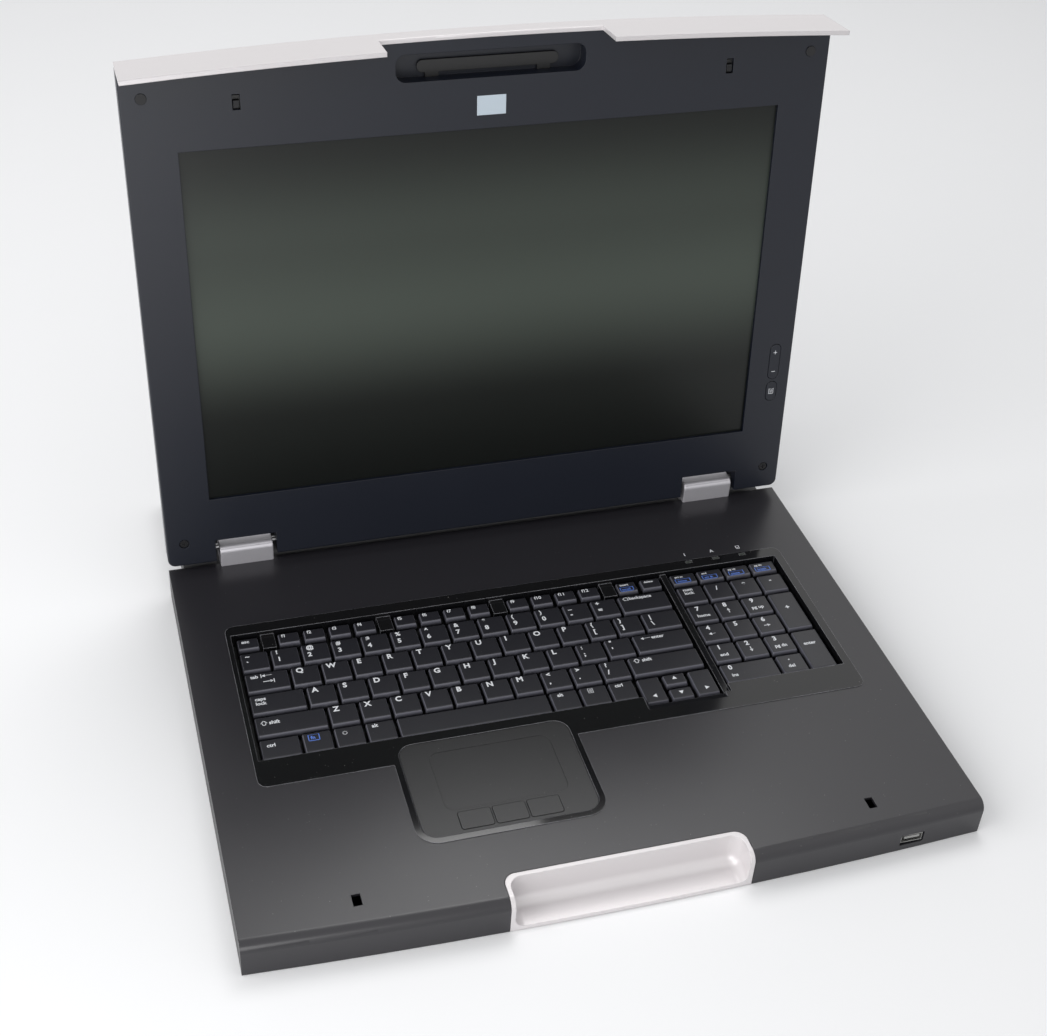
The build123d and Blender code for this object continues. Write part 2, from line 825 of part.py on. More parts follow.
# Host USB socket: a square shell around its tongue.
with BuildPart() as host_usb_port:
    box_between(host_x - host_width / 2, host_x + host_width / 2,
                rear_end_y - host_depth, rear_end_y,
                rear_socket_z - host_height / 2, rear_socket_z + host_height / 2)
    with BuildSketch(Plane.XZ.offset(-rear_end_y)):
        with Locations((host_x, rear_socket_z)):
            Rectangle(host_width - 2 * host_wall, host_height - 2 * host_wall)
            Rectangle(host_tongue_width, host_tongue_height, mode=Mode.SUBTRACT)
    extrude(amount=host_depth - 2 * host_wall, mode=Mode.SUBTRACT)

host_usb_port.part.label = "host_usb_port"
export_step(host_usb_port.part, "parts/host_usb_port.step")

# Power board behind the inlet, with its transformer and capacitors.
with BuildPart() as power_board:
    box_between(power_board_x - power_board_width / 2, power_board_x + power_board_width / 2,
                board_front_y, board_rear_y, board_z, board_top)
    with BuildSketch(Plane.XY.offset(board_top)):
        with Locations((power_board_x, board_middle_y)):
            Rectangle(transformer_size, transformer_size)
        with Locations((power_board_x - 2 * capacitor_radius - transformer_size / 2, board_middle_y)):
            Circle(capacitor_radius)
        with Locations((power_board_x + 2 * capacitor_radius + transformer_size / 2, board_middle_y)):
            Circle(capacitor_radius)
    extrude(amount=power_part_height)

power_board.part.label = "power_board"
export_step(power_board.part, "parts/power_board.step")

# Controller board behind the video and USB sockets, with its chips.
with BuildPart() as control_board:
    box_between(control_board_x - control_board_width / 2, control_board_x + control_board_width / 2,
                board_front_y, board_rear_y, board_z, board_top)
    with BuildSketch(Plane.XY.offset(board_top)):
        with Locations((control_board_x, board_middle_y)):
            with GridLocations(chip_pitch, 0, chip_count, 1):
                Rectangle(chip_size, chip_size)
    extrude(amount=chip_height)
    # blocks that hold the two sockets at the edge of the board
    for socket_x, socket_width, socket_height in (
        (video_x, video_width, video_height),
        (host_x, host_width, host_height),
    ):
        box_between(socket_x - socket_width / 2, socket_x + socket_width / 2,
                    rear_end_y - video_depth, board_rear_y,
                    board_top, rear_socket_z - socket_height / 2)

control_board.part.label = "control_board"
export_step(control_board.part, "parts/control_board.step")

# Front USB socket with its little carrier on the floor of the pan.
usb_front = front_y(usb_x) + usb_recess
with BuildPart() as front_usb_port:
    box_between(usb_x - usb_shell_width / 2, usb_x + usb_shell_width / 2,
                usb_front, usb_front + usb_shell_depth,
                usb_z - usb_shell_height / 2, usb_z + usb_shell_height / 2)
    with BuildSketch(Plane.XZ.offset(-usb_front)):
        with Locations((usb_x, usb_z)):
            Rectangle(usb_shell_width - 2 * usb_shell_wall, usb_shell_height - 2 * usb_shell_wall)
        with Locations((usb_x, usb_z + usb_tongue / 2)):
            Rectangle(usb_shell_width - 2 * usb_tongue, usb_tongue, mode=Mode.SUBTRACT)
    extrude(amount=-(usb_shell_depth - usb_shell_wall), mode=Mode.SUBTRACT)
    box_between(usb_x - usb_opening_width / 2, usb_x + usb_opening_width / 2,
                usb_front + skirt_thickness + usb_recess, usb_front + usb_shell_depth + usb_carrier_back,
                sheet, usb_z - usb_shell_height / 2)

front_usb_port.part.label = "front_usb_port"
export_step(front_usb_port.part, "parts/front_usb_port.step")

# Keyboard surround: a moulding that lies on the deck, with the well of the keys, the
# divider beside the keypad, the small fillers between the groups of function keys and
# the ring around the touchpad.
middle_x = (surround_left + surround_right) / 2
middle_y = (surround_back_y + surround_front_y) / 2
pad_x = (pad_left + pad_right) / 2
pad_y = (pad_back_y + pad_front_y) / 2


def surround_outline(inset):
    """Rectangle around the keys joined with the ring around the touchpad."""
    with Locations((middle_x, middle_y)):
        RectangleRounded(
            surround_right - surround_left - 2 * inset,
            surround_back_y - surround_front_y - 2 * inset,
            surround_corner - inset,
        )
    with Locations((pad_x, pad_y)):
        RectangleRounded(
            pad_right - pad_left + 2 * (pad_ring - inset),
            pad_back_y - pad_front_y + 2 * (pad_ring - inset),
            pad_corner + pad_ring - inset,
        )


def rectangle_between(x0, x1, y0, y1):
    """A rectangle between two corners, in the sketch being drawn."""
    with Locations(((x0 + x1) / 2, (y0 + y1) / 2)):
        Rectangle(abs(x1 - x0), abs(y1 - y0))


def well_outline(rim):
    """The well of the main keys with the bay of the arrow keys, and that of the keypad."""
    rectangle_between(well_left - rim, divider_left + rim, well_front_y - rim, well_back_y + rim)
    rectangle_between(bay_left - rim, divider_left + rim, arrow_bay_front_y - rim, well_back_y + rim)
    rectangle_between(divider_right - rim, well_right + rim, well_front_y - rim, well_back_y + rim)


with BuildPart() as keyboard_surround:
    with BuildSketch(Plane.XY.offset(tray_height)):
        surround_outline(0)
    extrude(amount=surround_lip)
    with BuildSketch(Plane.XY.offset(surround_under)):
        surround_outline(surround_overlap + edge_gap)
    extrude(amount=tray_height - surround_under)
    # walls of the well down to the key guide
    with BuildSketch(Plane.XY.offset(guide_top)):
        well_outline(well_wall)
    extrude(amount=surround_under - guide_top)
    with BuildSketch(Plane.XY.offset(guide_top)):
        well_outline(0)
    extrude(amount=surround_top - guide_top, mode=Mode.SUBTRACT)
    # divider between the letter block and the keypad, as high as the keys
    box_between(divider_left, divider_right, well_back_y, arrow_bay_front_y, key_top,
                surround_top, Mode.SUBTRACT)
    # fillers between the groups of function keys
    filler_ends = (
        (escape_left + f_key_width, f_group_lefts[0]),
        (f_group_lefts[0] + 3 * f_key_pitch + f_key_width, f_group_lefts[1]),
        (f_group_lefts[1] + 3 * f_key_pitch + f_key_width, f_group_lefts[2]),
        (f_group_lefts[2] + 3 * f_key_pitch + f_key_width, insert_left),
    )
    for filler_start, filler_end in filler_ends:
        box_between(filler_start + filler_gap, filler_end - filler_gap,
                    well_back_y, f_row_back_y - f_row_depth, guide_top, key_top - filler_drop)
    # bevel in front of the arrow keys
    with BuildSketch(Plane.YZ.offset(bay_left)):
        with BuildLine():
            Polyline(
                (arrow_bay_front_y, surround_top),
                (arrow_bay_front_y - arrow_bevel, surround_top),
                (arrow_bay_front_y, surround_top - arrow_bevel_drop),
                close=True,
            )
        make_face()
    extrude(amount=divider_left - bay_left, mode=Mode.SUBTRACT)
    # hole of the touchpad insert
    with BuildSketch(Plane.XY.offset(surround_under)):
        with Locations((pad_x, pad_y)):
            RectangleRounded(
                pad_right - pad_left + 2 * edge_gap,
                pad_back_y - pad_front_y + 2 * edge_gap,
                pad_corner + edge_gap,
            )
    extrude(amount=surround_depth, mode=Mode.SUBTRACT)
    # windows over the indicators
    with BuildSketch(Plane.XY.offset(surround_under)):
        for x in indicator_xs:
            with Locations((x, indicator_y)):
                Rectangle(indicator_width, indicator_height)
    extrude(amount=surround_depth, mode=Mode.SUBTRACT)

keyboard_surround.part.label = "keyboard_surround"
export_step(keyboard_surround.part, "parts/keyboard_surround.step")

# Indicator light guides in their windows.
with BuildPart() as indicator_lenses:
    with BuildSketch(Plane.XY.offset(surround_under)):
        for x in indicator_xs:
            with Locations((x, indicator_y)):
                Rectangle(indicator_width - 2 * fit_gap, indicator_height - 2 * fit_gap)
    extrude(amount=surround_depth)

indicator_lenses.part.label = "indicator_lenses"
export_step(indicator_lenses.part, "parts/indicator_lenses.step")

# Keys. A key is given by its left edge, its back edge, its width and its depth.
key_width = key_pitch - key_gap
row_y = [row_back_y - key_pitch * row for row in range(5)]
bottom_second = block_left + bottom_left_width + key_gap
space_left = bottom_second + 3 * key_pitch
right_alt_left = space_left + space_width + key_gap
keypad_x = [keypad_left + key_pitch * column for column in range(4)]
arrow_x = [arrow_left + arrow_pitch * column for column in range(3)]


def row_of(left, back, count):
    """Standard keys side by side."""
    return [(left + key_pitch * i, back, key_width, row_depth) for i in range(count)]


def key_to(left, right, back):
    """One wide key between two edges."""
    return [(left, back, right - left, row_depth)]


function_lefts = [escape_left]
for group_left in f_group_lefts:
    function_lefts += [group_left + f_key_pitch * i for i in range(4)]
function_lefts += [insert_left, delete_left]

key_groups = {
    "function_keys": [(left, f_row_back_y, f_key_width, f_row_depth) for left in function_lefts],
    "number_keys": row_of(block_left, row_y[0], 13),
    "key_backspace": key_to(block_left + 13 * key_pitch, block_right, row_y[0]),
    "key_tab": key_to(block_left, block_left + q_row_shift - key_gap, row_y[1]),
    "upper_letter_keys": row_of(block_left + q_row_shift, row_y[1], 12)
    + key_to(block_left + q_row_shift + 12 * key_pitch, block_right, row_y[1]),
    "key_caps_lock": key_to(block_left, block_left + a_row_shift - key_gap, row_y[2]),
    "middle_letter_keys": row_of(block_left + a_row_shift, row_y[2], 11),
    "key_enter": key_to(block_left + a_row_shift + 11 * key_pitch, block_right, row_y[2]),
    "key_shift_left": key_to(block_left, block_left + z_row_shift - key_gap, row_y[3]),
    "lower_letter_keys": row_of(block_left + z_row_shift, row_y[3], 10),
    "key_shift_right": key_to(block_left + z_row_shift + 10 * key_pitch, block_right, row_y[3]),
    "modifier_keys": key_to(block_left, block_left + bottom_left_width, row_y[4])
    + row_of(bottom_second, row_y[4], 3)
    + row_of(right_alt_left, row_y[4], 2)
    + key_to(right_control_left, right_control_left + right_control_width, row_y[4]),
    "key_space": key_to(space_left, space_left + space_width, row_y[4]),
    "key_arrow_left": [(arrow_x[0], arrow_back_y, arrow_width, arrow_depth)],
    "key_arrow_up": [(arrow_x[1], arrow_back_y, arrow_width, arrow_half_depth)],
    "key_arrow_down": [
        (arrow_x[1], arrow_back_y - arrow_depth + arrow_half_depth, arrow_width, arrow_half_depth)
    ],
    "key_arrow_right": [(arrow_x[2], arrow_back_y, arrow_width, arrow_depth)],
    "keypad_keys": [(left, f_row_back_y, key_width, f_row_depth) for left in keypad_x]
    + row_of(keypad_left, row_y[0], 4)
    + row_of(keypad_left, row_y[1], 3)
    + row_of(keypad_left, row_y[2], 3)
    + row_of(keypad_left, row_y[3], 3)
    + row_of(keypad_x[2], row_y[4], 1),
    "key_keypad_plus": [(keypad_x[3], row_y[1], key_width, row_depth + key_pitch)],
    "key_keypad_enter": [(keypad_x[3], row_y[3], key_width, row_depth + key_pitch)],
    "key_keypad_zero": [(keypad_left, row_y[4], zero_width, row_depth)],
}


def stems(left, back, width, depth):
    """Places of the guide stems under one key."""
    x = left + width / 2
    y = back - depth / 2
    if width < wide_key:
        return [(x, y)]
    reach = width / 2 - stabiliser_inset
    return [(x - reach, y), (x + reach, y)]


def key_solid(left, back, width, depth):
    """A cap with sloped sides, rounded slanted corners and its guide stems."""
    top_depth = depth - cap_front_inset - cap_back_inset
    with BuildPart() as key:
        with BuildSketch(Plane.XY.offset(skirt_z)):
            with Locations((left + width / 2, back - depth / 2)):
                Rectangle(width, depth)
        with BuildSketch(Plane.XY.offset(key_top)):
            with Locations((left + width / 2, back - cap_back_inset - top_depth / 2)):
                Rectangle(width - 2 * cap_side_inset, top_depth)
        loft(ruled=True)
        fillet(key.edges().group_by(Axis.Z)[1], radius=cap_corner)
        with BuildSketch(Plane.XY.offset(stem_low)):
            with Locations(*stems(left, back, width, depth)):
                Rectangle(stem_size, stem_size)
        extrude(amount=skirt_z - stem_low)
    return key.part


all_stems = []
for node, keys in key_groups.items():
    with BuildPart() as key_group:
        add([key_solid(*key) for key in keys])
    for left, back, width, depth in keys:
        all_stems += stems(left, back, width, depth)
    key_group.part.label = node
    export_step(key_group.part, f"parts/{node}.step")

# Key guide: a plate with a hole for every stem and a rim that stands on the key base.
with BuildPart() as key_guide:
    box_between(plate_left, plate_right, plate_back_y, plate_front_y, membrane_under, guide_top)
    box_between(plate_left + well_wall, plate_right - well_wall,
                plate_back_y - well_wall, plate_front_y + well_wall,
                membrane_under, guide_under, Mode.SUBTRACT)
    with BuildSketch(Plane.XY.offset(guide_under)):
        with Locations(*all_stems):
            Rectangle(stem_size + 2 * running_gap, stem_size + 2 * running_gap)
    extrude(amount=guide_thickness, mode=Mode.SUBTRACT)

key_guide.part.label = "key_guide"
export_step(key_guide.part, "parts/key_guide.step")

# Switch membrane inside the rim of the guide.
with BuildPart() as key_membrane:
    box_between(plate_left + well_wall + edge_gap, plate_right - well_wall - edge_gap,
                plate_back_y - well_wall - edge_gap, plate_front_y + well_wall + edge_gap,
                membrane_under, membrane_top)

key_membrane.part.label = "key_membrane"
export_step(key_membrane.part, "parts/key_membrane.step")

# Key base: the steel plate under the membrane, on the posts of the pan.
with BuildPart() as key_base:
    box_between(plate_left, plate_right, plate_back_y, plate_front_y,
                key_base_under, membrane_under)

key_base.part.label = "key_base"
export_step(key_base.part, "parts/key_base.step")

# Touchpad insert: a plate with a shallow pad area, three button holes and a skirt.
button_slots = [pad_button_left + pad_button_pitch * i for i in range(3)]
slot_opening = pad_button_pitch - pad_button_web
pad_cap_width = slot_opening - 2 * pad_button_gap
button_middle_y = (pad_button_back_y + pad_button_front_y) / 2
button_depth_y = pad_button_back_y - pad_button_front_y
pad_plate_under = pad_top - pad_plate_thickness
flange_top = pad_plate_under - running_gap
flange_under = flange_top - pad_button_flange
plunger_low = pad_board_top + pad_switch_height + pad_button_travel + running_gap / 2
with BuildPart() as touchpad_insert:
    with BuildSketch(Plane.XY.offset(pad_board_top)):
        with Locations((pad_x, pad_y)):
            RectangleRounded(pad_right - pad_left, pad_back_y - pad_front_y, pad_corner)
    extrude(amount=pad_top - pad_board_top)
    with BuildSketch(Plane.XY.offset(pad_board_top)):
        with Locations((pad_x, pad_y)):
            RectangleRounded(
                pad_right - pad_left - 2 * pad_wall,
                pad_back_y - pad_front_y - 2 * pad_wall,
                pad_corner - pad_wall,
            )
    extrude(amount=pad_skirt, mode=Mode.SUBTRACT)
    with BuildSketch(Plane.XY.offset(pad_top - pad_recess)):
        with Locations(
            (
                (pad_area_left + pad_area_right) / 2,
                (pad_area_back_y + pad_area_front_y) / 2,
            )
        ):
            RectangleRounded(
                pad_area_right - pad_area_left,
                pad_area_back_y - pad_area_front_y,
                pad_area_corner,
            )
    extrude(amount=pad_recess, mode=Mode.SUBTRACT)
    with BuildSketch(Plane.XY.offset(pad_plate_under)):
        for left in button_slots:
            with Locations((left + pad_button_pitch / 2, button_middle_y)):
                RectangleRounded(
                    slot_opening,
                    button_depth_y + 2 * pad_button_gap,
                    pad_button_corner + pad_button_gap,
                )
    extrude(amount=pad_plate_thickness, mode=Mode.SUBTRACT)

touchpad_insert.part.label = "touchpad_insert"
export_step(touchpad_insert.part, "parts/touchpad_insert.step")

# Touchpad board with its three switches.
with BuildPart() as touchpad_board:
    with BuildSketch(Plane.XY.offset(pad_board_under)):
        with Locations((pad_x, pad_y)):
            RectangleRounded(pad_right - pad_left, pad_back_y - pad_front_y, pad_corner)
    extrude(amount=pad_board_thickness)
    with BuildSketch(Plane.XY.offset(pad_board_top)):
        for left in button_slots:
            with Locations((left + pad_button_pitch / 2, button_middle_y)):
                Rectangle(pad_switch_size, pad_switch_size)
    extrude(amount=pad_switch_height)

touchpad_board.part.label = "touchpad_board"
export_step(touchpad_board.part, "parts/touchpad_board.step")

# Touchpad buttons, each held under the plate by a flange at its front and back.
for side_name, left in zip(("left", "middle", "right"), button_slots):
    with BuildPart() as pad_button:
        with BuildSketch(Plane.XY.offset(flange_under)):
            with Locations((left + pad_button_pitch / 2, button_middle_y)):
                RectangleRounded(pad_cap_width, button_depth_y, pad_button_corner)
        extrude(amount=pad_top + pad_button_proud - flange_under)
        with BuildSketch(Plane.XY.offset(flange_under)):
            with Locations((left + pad_button_pitch / 2, button_middle_y)):
                Rectangle(
                    pad_cap_width - 2 * pad_button_corner,
                    button_depth_y + 2 * pad_button_flange,
                )
        extrude(amount=pad_button_flange)
        with BuildSketch(Plane.XY.offset(plunger_low)):
            with Locations((left + pad_button_pitch / 2, button_middle_y)):
                Circle(pad_plunger_radius)
        extrude(amount=flange_under - plunger_low)
    pad_button.part.label = f"touch_button_{side_name}"
    export_step(pad_button.part, f"parts/touch_button_{side_name}.step")

# Screws that hold the deck from below and the rear cover from above.
with BuildPart() as tray_screws:
    with BuildSketch(Plane.XY):
        for y in deck_boss_ys:
            with Locations((-deck_boss_x, y), (deck_boss_x, y)):
                Circle(screw_head_radius)
    extrude(amount=screw_head_height)
    with BuildSketch(Plane.XY):
        for y in deck_boss_ys:
            with Locations((-deck_boss_x, y), (deck_boss_x, y)):
                Circle(screw_radius)
    extrude(amount=screw_length)
    with BuildSketch(Plane.XY.offset(rear_height)):
        for y in rear_post_ys:
            with Locations((-rear_post_x, y), (rear_post_x, y)):
                Circle(screw_head_radius)
    extrude(amount=-screw_head_height)
    with BuildSketch(Plane.XY.offset(rear_height)):
        for y in rear_post_ys:
            with Locations((-rear_post_x, y), (rear_post_x, y)):
                Circle(screw_radius)
    extrude(amount=-screw_length)

tray_screws.part.label = "tray_screws"
export_step(tray_screws.part, "parts/tray_screws.step")

# Hinge covers: two hollow caps that stand on the deck and the shelf around the hinges.
hinge_cover_top = tray_height + hinge_cover_height
cover_step_y = deck_rear_y + edge_gap


def hinge_cover(left):
    """One cap with rounded edges, open below, with the holes of the hinge pin."""
    with BuildPart() as cover:
        with BuildSketch(Plane.YZ.offset(left)):
            with BuildLine():
                Polyline(
                    (hinge_cover_front_y, tray_height),
                    (hinge_cover_front_y, hinge_cover_top),
                    (hinge_cover_back_y, hinge_cover_top),
                    (hinge_cover_back_y, shelf_top),
                    (cover_step_y, shelf_top),
                    (cover_step_y, tray_height),
                    close=True,
                )
            make_face()
        extrude(amount=hinge_cover_width)
        fillet(
            cover.edges().filter_by(Axis.X).group_by(Axis.Z)[-1],
            radius=hinge_cover_radius,
        )
        side_edges = cover.edges().group_by(Axis.X)[0] + cover.edges().group_by(Axis.X)[-1]
        fillet(
            side_edges.filter_by(lambda e: e.center().Z > tray_height + hinge_cover_edge),
            radius=hinge_cover_edge,
        )
        box_between(left + hinge_cover_wall, left + hinge_cover_width - hinge_cover_wall,
                    hinge_cover_front_y + hinge_cover_wall, hinge_cover_back_y - hinge_cover_wall,
                    shelf_top, hinge_cover_top - hinge_cover_wall, Mode.SUBTRACT)
        with BuildSketch(Plane.YZ.offset(left)):
            with Locations((hinge_y, hinge_z)):
                Circle(hinge_pin_radius + running_gap)
        extrude(amount=hinge_cover_width, mode=Mode.SUBTRACT)
    return cover.part


with BuildPart() as hinge_covers:
    add([hinge_cover(left) for left in hinge_cover_lefts])

hinge_covers.part.label = "hinge_covers"
export_step(hinge_covers.part, "parts/hinge_covers.step")

# Hinge brackets inside the covers: a foot on the shelf and a barrel around the pin.
with BuildPart() as hinge_brackets:
    for left in hinge_cover_lefts:
        bracket_left = left + hinge_cover_wall + edge_gap
        bracket_length = hinge_cover_width - 2 * (hinge_cover_wall + edge_gap)
        box_between(bracket_left, bracket_left + bracket_length,
                    cover_step_y + hinge_cover_wall, hinge_cover_back_y - hinge_cover_wall - edge_gap,
                    shelf_top, shelf_top + bracket_foot)
        box_between(bracket_left, bracket_left + bracket_length,
                    hinge_y - bracket_web / 2, hinge_y + bracket_web / 2,
                    shelf_top + bracket_foot, hinge_z)
        with BuildSketch(Plane.YZ.offset(bracket_left)):
            with Locations((hinge_y, hinge_z)):
                Circle(barrel_radius)
        extrude(amount=bracket_length)
        with BuildSketch(Plane.YZ.offset(bracket_left)):
            with Locations((hinge_y, hinge_z)):
                Circle(hinge_pin_radius + hinge_pin_gap)
        extrude(amount=bracket_length, mode=Mode.SUBTRACT)

hinge_brackets.part.label = "hinge_brackets"
export_step(hinge_brackets.part, "parts/hinge_brackets.step")

# Bezel of the lid: the front moulding with its side walls, the screen opening, the finger
# pocket of the latch, the slots of the hooks and the notches around the hinge covers.
lid_normal = Axis((0, 0, 0), (0, -cos(tilt), sin(tilt)))
lid_up = Axis((0, 0, 0), (0, sin(tilt), cos(tilt)))
hinge_up = hinge_y * sin(tilt) + hinge_above_deck * cos(tilt)
hinge_depth = hinge_y * cos(tilt) - hinge_above_deck * sin(tilt)
notch_lefts = [left - hinge_notch_gap for left in hinge_cover_lefts]
notch_width = hinge_cover_width + 2 * hinge_notch_gap
bumper_spots = ((-bumper_x, bumper_up), (bumper_x, bumper_up))
lid_screw_spots = ((-lid_screw_x, lid_screw_up), (lid_screw_x, lid_screw_up))
button_right = button_left + button_width
rocker_up = (rocker_low + rocker_high) / 2

with BuildPart() as lid_bezel:
    with BuildSketch(lid_at(0)):
        add(lid_shape.sketch_local)
    extrude(amount=-back_inner)
    face_edges = lid_bezel.faces().sort_by(lid_normal)[-1].edges().sort_by(lid_up)
    fillet(face_edges[:-1], radius=bezel_edge)
    with BuildSketch(lid_at(bezel_thickness)):
        add(lid_shape.sketch_local)
        offset(amount=-lid_wall)
    extrude(amount=-(back_inner - bezel_thickness), mode=Mode.SUBTRACT)
    # walls of the pocket and of the hinge notches
    lid_block(-pocket_half_width - pocket_wall, pocket_half_width + pocket_wall,
              pocket_low - pocket_wall, pocket_high + pocket_wall,
              bezel_thickness, pocket_depth + pocket_wall)
    for left in notch_lefts:
        lid_block(left - hinge_notch_wall, left + notch_width + hinge_notch_wall,
                  lid_bottom, hinge_notch_top + hinge_notch_wall, bezel_thickness, back_inner)
        lid_block(left, left + notch_width, lid_bottom - lid_corner, hinge_notch_top,
                  0, back_inner, Mode.SUBTRACT)
        lid_rod(left - 2 * hinge_notch_wall, left + notch_width + 2 * hinge_notch_wall,
                hinge_up, hinge_depth, hinge_pin_radius + edge_gap, Mode.SUBTRACT)
    lid_rectangle(-pocket_half_width, pocket_half_width, pocket_low, pocket_high,
                  0, pocket_depth, pocket_corner, Mode.SUBTRACT)
    for side in (-1, 1):
        lid_block(side * latch_arm_x - latch_arm_width / 2 - edge_gap,
                  side * latch_arm_x + latch_arm_width / 2 + edge_gap,
                  pocket_low - pocket_wall, pocket_low + pocket_corner,
                  latch_depth - edge_gap, latch_depth + latch_thickness + edge_gap, Mode.SUBTRACT)
        # slot of the hook
        lid_block(side * lid_slot_x - lid_slot_width / 2, side * lid_slot_x + lid_slot_width / 2,
                  lid_slot_low, lid_slot_high, 0, bezel_thickness, Mode.SUBTRACT)
    # ribs in front of the latch rail
    for x in rail_rib_xs:
        lid_block(x - rail_rib_width / 2, x + rail_rib_width / 2, rail_low, rail_high,
                  bezel_thickness, latch_depth - edge_gap)
    # screen opening
    lid_block(-screen_half_width, screen_half_width, screen_bottom, screen_top,
              0, bezel_thickness, Mode.SUBTRACT)
    # recess of the badge plate, bumper seats and screw recesses
    lid_block(-badge_width / 2, badge_width / 2, badge_up - badge_height / 2,
              badge_up + badge_height / 2, 0, badge_thickness - badge_proud, Mode.SUBTRACT)
    with BuildSketch(lid_at(0)):
        with Locations(*bumper_spots):
            Circle(bumper_radius + fit_gap)
    extrude(amount=-bumper_seat, mode=Mode.SUBTRACT)
    with BuildSketch(lid_at(0)):
        with Locations(*lid_screw_spots):
            Circle(lid_screw_recess_radius)
    extrude(amount=-lid_screw_recess, mode=Mode.SUBTRACT)
    with BuildSketch(lid_at(0)):
        with Locations(*lid_screw_spots):
            Circle(lid_screw_shank_radius + fit_gap)
    extrude(amount=-bezel_thickness, mode=Mode.SUBTRACT)
    # holes of the screen controls and the ears of the rocker
    lid_rectangle(button_left - button_gap, button_right + button_gap,
                  rocker_low - button_gap, rocker_high + button_gap,
                  0, bezel_thickness, button_corner + button_gap, Mode.SUBTRACT)
    lid_rectangle(button_left - button_gap, button_right + button_gap,
                  menu_low - button_gap, menu_high + button_gap,
                  0, bezel_thickness, button_corner + button_gap, Mode.SUBTRACT)
    for ear_left in (
        button_left - rocker_ear_gap - rocker_ear_width,
        button_right + rocker_ear_gap,
    ):
        lid_block(ear_left, ear_left + rocker_ear_width, rocker_up - rocker_ear_length / 2,
                  rocker_up + rocker_ear_length / 2, bezel_thickness,
                  rocker_pin_depth + 2 * rocker_ear_width)
        lid_rod(ear_left, ear_left + rocker_ear_width, rocker_up, rocker_pin_depth,
                rocker_pin_radius + rocker_pin_gap, Mode.SUBTRACT)

lid_bezel.part.label = "lid_bezel"
export_step(lid_bezel.part, "parts/lid_bezel.step")

# Back cover of the lid with its screw bosses and the ribs behind the latch rail.
with BuildPart() as lid_back_cover:
    with BuildSketch(lid_at(back_inner)):
        add(lid_shape.sketch_local)
    extrude(amount=-back_thickness)
    back_edges = lid_back_cover.faces().sort_by(lid_normal)[0].edges().sort_by(lid_up)
    fillet(back_edges[:-1], radius=bezel_edge)
    for left in notch_lefts:
        lid_block(left, left + notch_width, lid_bottom - lid_corner, hinge_notch_top,
                  back_inner, lid_thickness, Mode.SUBTRACT)
    with BuildSketch(lid_at(bezel_thickness)):
        with Locations(*lid_screw_spots):
            Circle(lid_boss_radius)
    extrude(amount=-(back_inner - bezel_thickness))
    with BuildSketch(lid_at(bezel_thickness)):
        with Locations(*lid_screw_spots):
            Circle(lid_screw_shank_radius + fit_gap)
    extrude(amount=-lid_screw_shank, mode=Mode.SUBTRACT)
    for x in rail_rib_xs:
        lid_block(x - rail_rib_width / 2, x + rail_rib_width / 2, rail_low, rail_high,
                  latch_depth + latch_thickness + edge_gap, back_inner)

lid_back_cover.part.label = "lid_back_cover"
export_step(lid_back_cover.part, "parts/lid_back_cover.step")

# Fascia: the bowed silver strip on the lid's top, which becomes the drawer front when the
# lid is closed, with the notch that leaves the handle cup free.
with BuildPart() as fascia:
    with BuildSketch(lid_at(-fascia_overhang)):
        with BuildLine():
            Line((half, lid_inner_top), (half, lid_top_side))
            ThreePointArc((half, lid_top_side), (0, lid_top_side + lid_bow), (-half, lid_top_side))
            Line((-half, lid_top_side), (-half, lid_inner_top))
            ThreePointArc((-half, lid_inner_top), (0, lid_inner_top + lid_bow), (half, lid_inner_top))
        make_face()
    extrude(amount=-(fascia_overhang + lid_thickness))
    lid_block(-fascia_notch_half, fascia_notch_half, lid_inner_top - lid_bow,
              lid_top_side + 2 * lid_bow, -fascia_overhang, 0, Mode.SUBTRACT)
    fillet(
        fascia.edges().filter_by(GeomType.CIRCLE).group_by(lid_up)[-1],
        radius=fascia_edge,
    )

fascia.part.label = "fascia"
export_step(fascia.part, "parts/fascia.step")

# Screen: the panel in the pocket of its module, and the driver board on the back cover.
with BuildPart() as lcd_panel:
    lid_block(-screen_half_width - panel_margin, screen_half_width + panel_margin,
              screen_bottom - panel_margin, screen_top + panel_margin,
              bezel_thickness, bezel_thickness + panel_thickness)

lcd_panel.part.label = "lcd_panel"
export_step(lcd_panel.part, "parts/lcd_panel.step")

with BuildPart() as lcd_module:
    lid_block(-module_half, module_half, module_low, module_high,
              bezel_thickness, bezel_thickness + module_thickness)
    lid_block(-screen_half_width - panel_margin - panel_gap,
              screen_half_width + panel_margin + panel_gap,
              screen_bottom - panel_margin - panel_gap, screen_top + panel_margin + panel_gap,
              bezel_thickness, bezel_thickness + panel_thickness, Mode.SUBTRACT)

lcd_module.part.label = "lcd_module"
export_step(lcd_module.part, "parts/lcd_module.step")

with BuildPart() as display_board:
    lid_block(display_board_left, display_board_right, display_board_low, display_board_high,
              back_inner - display_board_thickness, back_inner)
    with BuildSketch(lid_at(back_inner - display_board_thickness)):
        with Locations(
            (
                (display_board_left + display_board_right) / 2,
                (display_board_low + display_board_high) / 2,
            )
        ):
            with GridLocations(chip_pitch, 0, chip_count, 1):
                Rectangle(chip_size, chip_size)
    extrude(amount=display_chip_height)

display_board.part.label = "display_board"
export_step(display_board.part, "parts/display_board.step")

